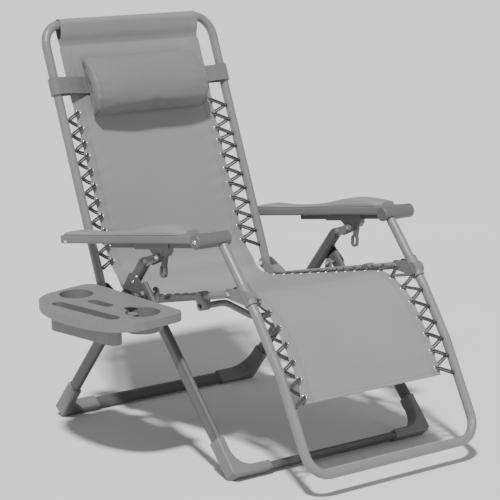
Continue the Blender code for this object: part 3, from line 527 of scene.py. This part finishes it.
MID_SEAT = (0.0, seat_height(0.0))
BACK_POINTS = top_hem() + [
    back_at(0.640, -0.0100), back_at(0.50, -0.0105), back_at(0.40, -0.0105), back_at(0.30, -0.0110),
    back_at(0.20, -0.0120), back_at(0.13, -0.0130), back_at(0.085, -0.0120), back_at(0.052, -0.0060),
    back_at(0.026, 0.0060), (0.268, 0.3720), (0.240, 0.3610), (0.205, 0.3615), (0.160, 0.3700),
    (0.093, 0.3835), (0.045, 0.3945), MID_SEAT,
]
LEG_POINTS = [
    MID_SEAT, (-0.067, 0.4185), (-0.130, 0.4325), (-0.180, 0.4435), (-0.222, 0.4515), (-0.250, 0.4500),
    (-0.278, 0.4410), (-0.312, 0.4240), (-0.341, 0.4020), (-0.367, 0.3720), (-0.392, 0.3390),
    (-0.415, 0.3050), (-0.435, 0.2710), (-0.448, 0.2430), (-0.460, 0.2170),
]
BACK_LINE = smooth_line(BACK_POINTS, STEP)
LEG_LINE = smooth_line(LEG_POINTS, STEP)
HEM_LENGTH = float(np.sum(np.linalg.norm(np.diff(smooth_line(top_hem(), STEP), axis=0), axis=1)))


def line_frame(line):
    """Lengths along a side-view line, and the direction that faces the sitter."""
    ahead = np.gradient(line, axis=0)
    ahead /= np.linalg.norm(ahead, axis=1)[:, None]
    facing = np.stack([ahead[:, 1], -ahead[:, 0]], axis=1)
    lengths = np.concatenate(([0.0], np.cumsum(np.linalg.norm(np.diff(line, axis=0), axis=1))))
    return lengths, ahead, facing


def at_length(line, length):
    lengths, ahead, facing = line_frame(line)
    spot, heading, out = (
        np.array([np.interp(length, lengths, part[:, k]) for k in (0, 1)]) for part in (line, ahead, facing)
    )
    return spot, heading / np.linalg.norm(heading), out / np.linalg.norm(out)


def nearest_length(line, point):
    lengths, _, _ = line_frame(line)
    return float(lengths[int(np.argmin(np.linalg.norm(line - np.array(point), axis=1)))])


BACK_EYELETS = [nearest_length(BACK_LINE, back_at(0.490 - 0.0414 * i, -0.012)) for i in range(11)]
for y in (0.185, 0.148, 0.111, 0.074, 0.040, 0.008):
    BACK_EYELETS.append(nearest_length(BACK_LINE, (y, seat_height(y))))
LEG_EYELETS = []
for y in (-0.025, -0.062, -0.099, -0.136, -0.173):
    LEG_EYELETS.append(nearest_length(LEG_LINE, (y, seat_height(y))))
LEG_TOTAL = float(line_frame(LEG_LINE)[0][-1])
LEG_EYELETS += list(np.linspace(LEG_EYELETS[-1] + 0.052, LEG_TOTAL - 0.020, 8))


def sheet_columns():
    """Places across the sheet: close together at the edge and at the side seam."""
    half = [0.0, 0.02, 0.04, 0.06, 0.08, 0.10, 0.12, 0.14, 0.158, 0.174, 0.188, 0.200, 0.2060]
    half += [0.2095, 0.2110, 0.2125, 0.2160, 0.2215, 0.2270, 0.2325, 0.2380, 0.2420, 0.2450, 0.2460]
    return np.array([-x for x in reversed(half[1:])] + half)


LACE_FADE = 0.03
CLOTH_THICK = 0.0011
SIDE_HEM_THICK = 0.0024
END_HEM_THICK = 0.0026


def pull_of(lengths, eyelets):
    """1 where the cord pulls on an eyelet and 0 half way to the next one."""
    pull = np.zeros_like(lengths)
    for here in eyelets:
        pull = np.maximum(pull, np.clip(1 - np.abs(lengths - here) / 0.020, 0, 1))
    return pull * pull * (3 - 2 * pull)


def make_sheet(name, line, eyelets, material, hem_length, end_hem, sag, run_in, joined_row):
    """A two-faced sheet along a side-view line.

    run_in is the length of cloth before this sheet, so that weave and creases go on across the join.
    joined_row is the row, 0 or -1, where it meets the other sheet: sharp, so no shading line shows.
    """
    lengths, ahead, facing = line_frame(line)
    total = lengths[-1]
    columns = sheet_columns()
    first_eyelet, last_eyelet = min(eyelets), max(eyelets)
    laced = np.clip((lengths - first_eyelet + LACE_FADE) / LACE_FADE, 0, 1)
    laced *= np.clip((last_eyelet + LACE_FADE - lengths) / LACE_FADE, 0, 1)
    pull = pull_of(lengths, eyelets)
    front, back, flat = [], [], []
    for i in range(len(line)):
        run = lengths[i] + run_in
        narrow = HEM_HALF / SHEET_HALF if lengths[i] < hem_length else 1.0
        for x in columns:
            share = abs(x) / SHEET_HALF
            edge = max(0.0, (share - 0.80) / 0.20)
            shift = -0.0042 * laced[i] * (1 - pull[i]) * edge**1.5 * math.copysign(1, x)
            rise = 0.0016 * laced[i] * (pull[i] - 0.4) * max(0.0, 1 - abs(share - 0.93) / 0.16)
            fold = math.sin(run * 150.0 + x * 61.0) * 0.5 + math.sin(run * 67.0 - x * 118.0) * 0.5
            rise += 0.0007 * laced[i] * fold * math.exp(-(((share - 0.78) / 0.16) ** 2))
            rise -= sag(lengths[i], total) * (1 - share**2)
            thick = CLOTH_THICK
            if lengths[i] >= hem_length and abs(x) > SIDE_SEAM:
                thick = SIDE_HEM_THICK
            if total - lengths[i] < end_hem:
                thick = END_HEM_THICK
            if abs(x) > 0.2455:
                thick *= 0.55
            where = line[i] + facing[i] * rise
            for side, store in ((0.5, front), (-0.5, back)):
                spot = where + facing[i] * thick * side
                store.append(place((x + shift) * narrow, spot))
            flat.append((x, run))
    wide = len(columns)
    count = len(line)
    base = len(front)
    faces = []
    for i in range(count - 1):
        for j in range(wide - 1):
            a, b = i * wide + j, i * wide + j + 1
            c, d = (i + 1) * wide + j + 1, (i + 1) * wide + j
            faces.append((a, d, c, b))
            faces.append((base + a, base + b, base + c, base + d))
        for j, flip in ((0, False), (wide - 1, True)):
            a, d = i * wide + j, (i + 1) * wide + j
            quad = (a, base + a, base + d, d)
            faces.append(quad[::-1] if flip else quad)
    for i, flip in ((0, True), (count - 1, False)):
        for j in range(wide - 1):
            a, b = i * wide + j, i * wide + j + 1
            quad = (a, base + a, base + b, b)
            faces.append(quad if flip else quad[::-1])
    sheet = mesh_object(name, front + back, faces, material, flat + flat)
    first = (joined_row % count) * wide
    joined = set(range(first, first + wide)) | set(range(base + first, base + first + wide))
    for edge in sheet.data.edges:
        edge.use_edge_sharp = joined.issuperset(edge.vertices)
    return sheet


BACK_TOTAL = float(line_frame(BACK_LINE)[0][-1])
SLING_LEVEL = 0.248
HEM_SEAMS = [HEM_LENGTH - 0.002, HEM_LENGTH - 0.006]
LOWER_SEAM = [BACK_TOTAL + LEG_TOTAL - 0.0095]
BACK_CLOTH = sling_cloth("sling_back_cloth", SLING_LEVEL, HEM_SEAMS, HEM_LENGTH)
LEG_CLOTH = sling_cloth("sling_leg_cloth", SLING_LEVEL, LOWER_SEAM, NO_TOP_HEM)


def back_sag(length, total):
    """The sitter's hollow: deepest in the seat, slight behind the shoulders."""
    below = max(0.0, min(1.0, (length - HEM_LENGTH - 0.02) / 0.10))
    seat = max(0.0, (length - (total - 0.34)) / 0.34)
    return below * (0.004 + 0.003 * math.sin(min(1.0, seat) * math.pi / 2))


def leg_sag(length, total):
    """The same hollow fades out towards the lower edge."""
    return 0.0055 * (1 - length / total) ** 1.5 + 0.0015


NEXT_EYELET = BACK_TOTAL + LEG_EYELETS[0]
LAST_EYELET = BACK_EYELETS[-1] - BACK_TOTAL
sling_back = make_sheet(
    "sling_back_sheet", BACK_LINE, BACK_EYELETS + [NEXT_EYELET], BACK_CLOTH,
    hem_length=HEM_LENGTH, end_hem=0.0, sag=back_sag, run_in=0.0, joined_row=-1,
)
sling_leg = make_sheet(
    "sling_leg_sheet", LEG_LINE, [LAST_EYELET] + LEG_EYELETS, LEG_CLOTH,
    hem_length=NO_TOP_HEM, end_hem=0.010, sag=leg_sag, run_in=BACK_TOTAL, joined_row=0,
)

# ---------------------------------------------------------------- lacing

HIP_START = place(0, (0.225, 0.365))
HIP_END = place(0, (0.340, 0.455))
KNEE_START = place(0, (-0.190, 0.446))
KNEE_END = place(0, (-0.300, 0.430))
BACK_TUBE = even(np.array([back_at(0.70, 0.0), back_at(0.030, 0.0)]), 0.002)
SEAT_TUBE = even(np.array([(0.252, 0.3430), (-0.249, 0.4655)]), 0.002)
LEG_TUBE = rounded_line(
    [(-0.205, 0.5748), (-0.335, 0.427), (-0.425, 0.300), (-0.556, 0.062)], [0.10, 0.16], 0.002
)


def tube_for(point, leg_sheet):
    if leg_sheet and point[0] < -0.262:
        return LEG_TUBE
    if not leg_sheet and point[1] > 0.435:
        return BACK_TUBE
    return SEAT_TUBE


def hook_near(point, heading, leg_sheet):
    """The place on the frame tube that an eyelet's cord goes to: beside it and a little further on."""
    tube = tube_for(point, leg_sheet)
    wanted = point + heading * 0.0215
    index = int(np.argmin(np.linalg.norm(tube - wanted, axis=1)))
    index = min(max(index, 1), len(tube) - 2)
    run = tube[index + 1] - tube[index - 1]
    return tube[index], run / np.linalg.norm(run), tube is SEAT_TUBE


LONGEST_SPAN = 0.085
STRAND_R = 0.0026
STRAND_OFFSET = 0.0029


def lacing(line, eyelets, leg_sheet):
    """Eyelets, twin elastic cord and frame hooks down both sides of a sheet."""
    rings, cords = Batch(), Batch()
    hooks = {"back": Batch(), "seat": Batch(), "leg_rest": Batch()}
    for side in SIDES.values():
        path, leans = [], []
        for number, length in enumerate(eyelets):
            point, heading, facing = at_length(line, length)
            centre = place(side * EYELET_X, point)
            out = Vector((0, facing[0], facing[1]))
            down = Vector((0, heading[0], heading[1]))
            rings.turned(centre, out, ring_profile(), 18)
            spot, run, on_seat = hook_near(point, heading, leg_sheet)
            radius = SEAT_TUBE_R if on_seat else TUBE_R
            inner = place(side * (RAIL_X - radius - HOOK_GAP), spot)
            along = Vector((0, run[0], run[1]))
            if along.dot(down) < 0:
                along = -along
            owner = "seat" if on_seat else ("leg_rest" if leg_sheet else "back")
            across = Vector((side, 0, 0))
            third = across.cross(along).normalized()
            loop = []
            for k in range(14):
                angle = 2 * math.pi * k / 14
                loop.append(inner + across * 0.0052 * math.cos(angle) + third * 0.0060 * math.sin(angle))
            hooks[owner].tube(loop, 0.0015, 8, closed=True)
            stem = [inner + across * 0.0030 - along * 0.006, inner + across * 0.0034 + along * 0.006]
            hooks[owner].tube(stem, 0.0026, 8)
            towards = (inner - centre).normalized()
            path.append(centre - out * 0.0045 - towards * 0.004)
            path.append(centre + out * 0.0002)
            path.append(centre + out * 0.0052 + towards * 0.0060)
            path.append(centre.lerp(inner, 0.5) + out * 0.0035)
            path.append(inner - towards * 0.0060 + out * 0.0010)
            path.append(inner + along * 0.0008)
            leans += [out] * (len(path) - len(leans))
            if number + 1 < len(eyelets):
                goal = place(side * EYELET_X, at_length(line, eyelets[number + 1])[0])
                if (goal - inner).length > LONGEST_SPAN:
                    twin_strands(cords, path, leans)
                    path, leans = [], []
                    continue
                inward = (goal - inner).normalized()
                path.append(inner + inward * 0.0070 - out * 0.0010)
                path.append(inner.lerp(goal, 0.55) - out * 0.0035)
                leans += [out] * 2
        leans += [out] * (len(path) - len(leans))
        twin_strands(cords, path, leans)
    return rings, cords, hooks


def ring_profile():
    """A rolled eyelet: the profile starts and ends inside the hole."""
    return [(0.0040, -0.0024), (0.0072, -0.0024), (0.0078, -0.0014), (0.0078, 0.0014), (0.0072, 0.0026),
            (0.0060, 0.0031), (0.0049, 0.0027), (0.0042, 0.0016), (0.0040, 0.0000)]


def twin_strands(batch, path, leans):
    """Two parallel strands side by side in the sheet's plane: leans are the ways that the sheet faces."""
    tiny = 0.001
    both = [np.concatenate((np.array(spot), np.array(lean) * tiny)) for spot, lean in zip(path, leans)]
    both = smooth_line(both, 0.0035)
    line, lean = both[:, :3], both[:, 3:] / tiny
    ahead = np.gradient(line, axis=0)
    ahead /= np.linalg.norm(ahead, axis=1)[:, None]
    apart = np.cross(ahead, lean)
    apart /= np.linalg.norm(apart, axis=1)[:, None]
    for _ in range(3):
        apart[1:-1] = (apart[:-2] + apart[1:-1] * 2 + apart[2:]) / 4
    for sign in (-1, 1):
        batch.tube(line + apart * STRAND_OFFSET * sign, STRAND_R, 7)


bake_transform(sling_back)
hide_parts("sling_back", "sling_seat")
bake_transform(sling_leg)
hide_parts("sling_leg")

laces = (
    ("back", BACK_LINE, BACK_EYELETS, False, ("seat", "back", HIP_START, HIP_END),
     ("back_lace_left", "back_lace_right", "seat_lace_left", "seat_lace_right")),
    ("leg", LEG_LINE, LEG_EYELETS, True, ("seat", "leg_rest", KNEE_START, KNEE_END),
     ("leg_lace_left", "leg_lace_right")),
)
for label, line, eyelets, is_leg, bend, nodes in laces:
    rings, cords, hooks = lacing(line, eyelets, is_leg)
    ring_object = rings.object(label + "_eyelets", STEEL)
    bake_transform(ring_object)
    cord_object = cords.object(label + "_lacing", CORD)
    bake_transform(cord_object)
    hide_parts(*nodes)
    for body, batch in hooks.items():
        if batch.verts:
            hook_object = batch.object(label + "_hooks_" + body, HOOK)
            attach(hook_object, body)

# ---------------------------------------------------------------- head pillow

PILLOW_AXIS = place(0, back_at(0.552, 0.021))
SIM_FRAMES = 20
RELAX_ROUNDS = 24
SLING_FACE = -0.0050
PIPING_X = 0.186
PIPING_R = 0.0019


def relaxed(mesh, spots, rounds):
    """Even out the creases that the capped movement leaves, without losing the puffed volume."""
    ends = np.array([edge.vertices[:] for edge in mesh.edges])
    degree = np.bincount(ends.ravel(), minlength=len(spots))[:, None]
    for number in range(rounds):
        total = np.zeros_like(spots)
        np.add.at(total, ends[:, 0], spots[ends[:, 1]])
        np.add.at(total, ends[:, 1], spots[ends[:, 0]])
        step = 0.55 if number % 2 == 0 else -0.53
        spots = spots + (total / degree - spots) * step
    return spots


def evaluated_mesh(item):
    return bpy.data.meshes.new_from_object(item.evaluated_get(bpy.context.evaluated_depsgraph_get()))


def inflate(source, voxel, pressure, cap, name, material):
    """Blow a closed solid up like a stuffed case: remesh, cloth with pressure, capped movement."""
    mesh = source.data.copy()
    item = bpy.data.objects.new(name, mesh)
    bpy.context.scene.collection.objects.link(item)
    to_start = Matrix.Diagonal((1.035, 0.985, 0.985, 1.0))
    mesh.transform(source.matrix_world)
    mesh.transform(Matrix.Translation(PILLOW_AXIS) @ to_start @ Matrix.Translation(-PILLOW_AXIS))
    remesh = item.modifiers.new("remesh", "REMESH")
    remesh.mode = "VOXEL"
    remesh.voxel_size = voxel
    bpy.context.view_layer.update()
    base = evaluated_mesh(item)
    item.modifiers.clear()
    item.data = base
    rest = np.array([v.co for v in base.vertices])
    cloth = item.modifiers.new("cloth", "CLOTH")
    cloth.settings.quality = 6
    cloth.settings.mass = 0.25
    cloth.settings.tension_stiffness = 18
    cloth.settings.compression_stiffness = 18
    cloth.settings.shear_stiffness = 8
    cloth.settings.bending_stiffness = 0.6
    cloth.settings.use_pressure = True
    cloth.settings.uniform_pressure_force = pressure
    cloth.settings.effector_weights.gravity = 0.0
    cloth.collision_settings.use_collision = False
    cloth.point_cache.frame_start = 1
    cloth.point_cache.frame_end = SIM_FRAMES
    for number in range(1, SIM_FRAMES + 1):
        bpy.context.scene.frame_set(number)
    puffed = evaluated_mesh(item)
    moved = np.array([v.co for v in puffed.vertices]) - rest
    item.modifiers.clear()
    bpy.context.scene.frame_set(1)
    size = np.linalg.norm(moved, axis=1)
    scale = np.where(size > cap, cap / np.maximum(size, 1e-9), 1.0)
    rest = relaxed(item.data, rest + moved * scale[:, None], RELAX_ROUNDS)
    for vertex, spot in zip(item.data.vertices, rest):
        vertex.co = spot
    item.data.materials.clear()
    item.data.materials.append(material)
    item.data.polygons.foreach_set("use_smooth", [True] * len(item.data.polygons))
    return item


def settle_on_sling(item):
    """Press the pillow's rear flat against the sling, and add soft creases that run in from its ends."""
    up = np.array((0.0, *BACK_UP))
    out = np.array((0.0, *BACK_FRONT))
    origin = np.array(place(0, HIP))
    co = np.array([v.co for v in item.data.vertices])
    local = co - origin
    s, n, x = local @ up, local @ out, local[:, 0]
    n = np.where(n < SLING_FACE, SLING_FACE, n)
    ends = np.clip((np.abs(x) - 0.095) / 0.095, 0, 1) ** 1.6
    crease = np.sin(s * 260 + x * 30) * 0.6 + np.sin(s * 131 - x * 47 + 1.2) * 0.7
    n = n + np.where(n > 0.004, crease * ends * 0.0011, 0.0)
    middle = 0.557
    s = middle - 0.004 + (s - middle) * (1.02 - 0.05 * ends)
    n = np.where(n > 0.010, 0.010 + (n - 0.010) * (1 - 0.10 * ends), n)
    co = origin + np.outer(s, up) + np.outer(n, out)
    co[:, 0] = local[:, 0] + origin[0]
    for vertex, spot in zip(item.data.vertices, co):
        vertex.co = spot


# The pillow's cloth is the sling's cloth set to a darker grey: painted shade, standing for the shade on the
# pillow's lower half.
PILLOW_CLOTH = pillow_cloth("pillow_cloth", 0.170, PILLOW_AXIS, 0.060)
pillow = inflate(
    frame["nodes"]["pillow"], voxel=0.0055, pressure=4.0, cap=0.010,
    name="head_pillow_case", material=PILLOW_CLOTH,
)
settle_on_sling(pillow)
pillow_shape = BVHTree.FromObject(pillow, bpy.context.evaluated_depsgraph_get())


def pillow_ring(x, batch, radius):
    """Piping round the pillow, on its surface, at one place along it."""
    path = []
    up = Vector((0, *BACK_UP))
    out = Vector((0, *BACK_FRONT))
    centre = PILLOW_AXIS + Vector((x, 0, 0)) - out * 0.004
    for k in range(64):
        angle = 2 * math.pi * k / 64
        ray = up * math.cos(angle) + out * math.sin(angle)
        hit = pillow_shape.ray_cast(centre + ray * 0.14, -ray)[0]
        if hit is not None:
            path.append(hit + ray * radius * 0.15)
    batch.tube(path, radius, 7, closed=True)


piping = Batch()
for side in SIDES.values():
    pillow_ring(side * PIPING_X, piping, PIPING_R)
piping = piping.object("head_pillow_piping", PILLOW_CLOTH)
puff = pillow.modifiers.new("smooth", "SUBSURF")
puff.levels = 1
puff.render_levels = 1
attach(pillow, "head_pillow")
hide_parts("pillow")
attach(piping, "head_pillow")

# ---------------------------------------------------------------- carried-over CAD nodes

FINISHES = (
    ("back_frame", PAINT), ("leg_rest_frame", PAINT), ("seat_rail", PAINT), ("seat_cross_bar", PAINT),
    ("rear_leg_frame", LEG_PAINT), ("front_leg_frame", LEG_PAINT), ("seat_hanger", PAINT),
    ("cross_clamp", PLASTIC), ("rear_shoe", SHOE_PLASTIC), ("front_shoe", SHOE_PLASTIC),
    ("hub_plate", LEG_PAINT), ("hip_bracket", PLASTIC), ("knee_collar", PLASTIC), ("arm_bracket", PLASTIC),
    ("armrest", PLASTIC), ("arm_pad", PAD_PLASTIC), ("arm_roll", ROLL_PLASTIC), ("arm_track", ROLL_PLASTIC),
    ("lock_housing", PLASTIC), ("lock_lever", ROLL_PLASTIC),
    ("hub_pin", STEEL), ("hip_pin", STEEL), ("knee_pin", STEEL),
    ("arm_pin", STEEL), ("lock_pin", STEEL), ("pillow_strap", WEBBING), ("tray", TRAY_PLASTIC),
    ("leg_clip", PLASTIC),
)
BEVELLED = (
    "shoe", "hub_plate", "hip_bracket", "knee_collar", "arm_bracket", "armrest", "arm_pad", "arm_roll",
    "arm_track", "lock_housing", "lock_lever", "tray", "leg_clip", "cross_clamp",
)
BEVEL_WIDTH = 0.0009

for node, item in frame["nodes"].items():
    for prefix, material in FINISHES:
        if node.startswith(prefix):
            item.data.materials.clear()
            item.data.materials.append(material)
            for slot in item.material_slots:
                slot.material = material
    if any(word in node for word in BEVELLED):
        bevel = item.modifiers.new("edge", "BEVEL")
        bevel.width = BEVEL_WIDTH
        bevel.segments = 2
        bevel.limit_method = "ANGLE"
        bevel.angle_limit = math.radians(38)
        bevel.harden_normals = True

# ---------------------------------------------------------------- tray wells

TRAY_TILT = math.radians(-3.5)
TRAY_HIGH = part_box("tray")[1]
TRAY_EDGE = Vector((TRAY_HIGH.x, 0, TRAY_HIGH.z - 0.0006))
TRAY_TURN = Matrix.Translation(TRAY_EDGE) @ Matrix.Rotation(TRAY_TILT, 4, "Y")


def on_tray(x, y, depth):
    """A point on the tilted tray: x outwards from its inner edge, y along it, and depth below the top."""
    return TRAY_TURN @ Vector((x, y + SHIFT.y, -depth))


def rounded_slot(centre, length, width, turn, corner=0.004, steps=4):
    """Plan outline of a rectangle with rounded corners."""
    points = []
    for sx, sy, start in ((1, 1, 0), (-1, 1, 90), (-1, -1, 180), (1, -1, 270)):
        for k in range(steps + 1):
            angle = math.radians(start + 90 * k / steps)
            x = sx * (width / 2 - corner) + corner * math.cos(angle)
            y = sy * (length / 2 - corner) + corner * math.sin(angle)
            c, s = math.cos(turn), math.sin(turn)
            points.append((centre[0] + x * c - y * s, centre[1] + x * s + y * c))
    return points


def tub(name, outline, inner, top, depth, open_before):
    """An open tub with a rounded bottom edge, hung below the tray's top."""
    layers = ((1.0, top), (1.0, depth - 0.003), (0.96, depth - 0.0012), (0.90, depth))
    middle = np.mean(np.array(outline), axis=0)
    verts, faces = [], []
    for shell in (1.0, inner):
        for share, drop in layers:
            if shell < 1.0:
                drop = max(top, drop - 0.0016)
            for x, y in outline:
                at = middle + (np.array((x, y)) - middle) * share * shell
                verts.append(on_tray(at[0], at[1], drop))
    count = len(outline)
    rows = len(layers)
    for half, flip in ((0, False), (rows, True)):
        for row in range(rows - 1):
            for k in range(count):
                n = (k + 1) % count
                if max(outline[k][1], outline[n][1]) < open_before:
                    continue
                a, b = (half + row) * count + k, (half + row) * count + n
                quad = (a, b, b + count, a + count)
                faces.append(quad[::-1] if flip else quad)
    faces.append(tuple((rows - 1) * count + k for k in range(count)))
    faces.append(tuple((2 * rows - 1) * count + k for k in reversed(range(count))))
    for k in range(count):
        n = (k + 1) % count
        if max(outline[k][1], outline[n][1]) >= open_before:
            faces.append((n, k, rows * count + k, rows * count + n))
    item = mesh_object(name, verts, faces, TRAY_PLASTIC, smooth=False)
    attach(item, "side_tray")


STEM_SLOT = rounded_slot((-0.0800, -0.0160), 0.0330, 0.0372, math.radians(3))
tub("tray_stem_well", STEM_SLOT, 0.95, 0.0034, 0.0186, -0.0225)

# ---------------------------------------------------------------- rivets


def rivets(name, body, heads):
    """Domed heads on a body: (x, (y, z), outward sign, radius) each, with the axis along x."""
    batch = Batch()
    for x, yz, sign, radius in heads:
        batch.turned(place(x, yz), (sign, 0, 0), dome(radius, radius * 0.55, 0.0007), 18)
    item = batch.object(name, STEEL)
    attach(item, body)


def outer_face(node):
    """How far a node's outer side stands from the centre plane."""
    low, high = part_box(node)
    return max(abs(low.x - MIDDLE_X), abs(high.x - MIDDLE_X))


ROLL_LOW, ROLL_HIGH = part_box("arm_roll_left")
ROLL_YZ = ((ROLL_LOW.y + ROLL_HIGH.y) / 2 - SHIFT.y, (ROLL_LOW.z + ROLL_HIGH.z) / 2)
for side_name, side in SIDES.items():
    plate = outer_face("hub_plate_" + side_name)
    rivets("hub_rivets_" + side_name, "rear_leg", [
        (side * plate, (0.0722, 0.4560), side, 0.0042), (side * plate, (0.0869, 0.4391), side, 0.0042),
    ])
    rivets("roll_rivet_" + side_name, "armrests", [
        (side * outer_face("arm_roll_" + side_name), ROLL_YZ, side, 0.0058),
    ])

# ---------------------------------------------------------------- floor, light, camera

floor_mesh = bpy.data.meshes.new("floor")
floor_bm = bmesh.new()
bmesh.ops.create_circle(floor_bm, cap_ends=True, segments=96, radius=45.0)
floor_bm.to_mesh(floor_mesh)
floor_bm.free()
floor_mesh.materials.append(floor_material("pale_floor"))
floor = bpy.data.objects.new("floor", floor_mesh)
bpy.context.scene.collection.objects.link(floor)

world = bpy.data.worlds.new("studio")
bpy.context.scene.world = world
world.use_nodes = True
world.node_tree.nodes["Background"].inputs["Color"].default_value = (0.93, 0.94, 0.96, 1.0)
world.node_tree.nodes["Background"].inputs["Strength"].default_value = 0.34


def lamp(name, kind, spot, aim, energy):
    light = bpy.data.lights.new(name, kind)
    light.energy = energy
    item = bpy.data.objects.new(name, light)
    item.location = spot
    item.rotation_euler = (Vector(aim) - Vector(spot)).to_track_quat("-Z", "Y").to_euler()
    bpy.context.scene.collection.objects.link(item)
    return light


key = lamp("key", "SUN", (-1.9, -1.4, 4.6), (0.0, 0.0, 0.45), 4.7)
key.angle = math.radians(5.0)
fill = lamp("fill", "AREA", (1.6, -4.4, 2.2), (0.0, 0.0, 0.4), 34.0)
fill.shape = "DISK"
fill.size = 3.4

LOOK_FROM = -0.7287
LOOK_DOWN = 0.232
DISTANCE = 5.8825
ROLL = 0.0289
FRAME_PIXELS = 500
target = Vector((0, 0, 0.3729))
level = math.cos(LOOK_DOWN)
behind = Vector((math.sin(LOOK_FROM) * level, -math.cos(LOOK_FROM) * level, math.sin(LOOK_DOWN)))
level_right = (-behind).cross(Vector((0, 0, 1))).normalized()
level_up = level_right.cross(-behind)
right = level_right * math.cos(ROLL) + level_up * math.sin(ROLL)
upward = level_up * math.cos(ROLL) - level_right * math.sin(ROLL)
turn = Matrix((right, upward, behind)).transposed().to_4x4()
camera_data = bpy.data.cameras.new("camera")
camera_data.lens = 158.22
camera_data.sensor_width = 36.0
camera_data.shift_x = -5.83 / FRAME_PIXELS
camera_data.shift_y = 45.4 / FRAME_PIXELS
camera = bpy.data.objects.new("camera", camera_data)
camera.matrix_world = Matrix.Translation(SHIFT + target + behind * DISTANCE) @ turn
bpy.context.scene.collection.objects.link(camera)
bpy.context.scene.camera = camera
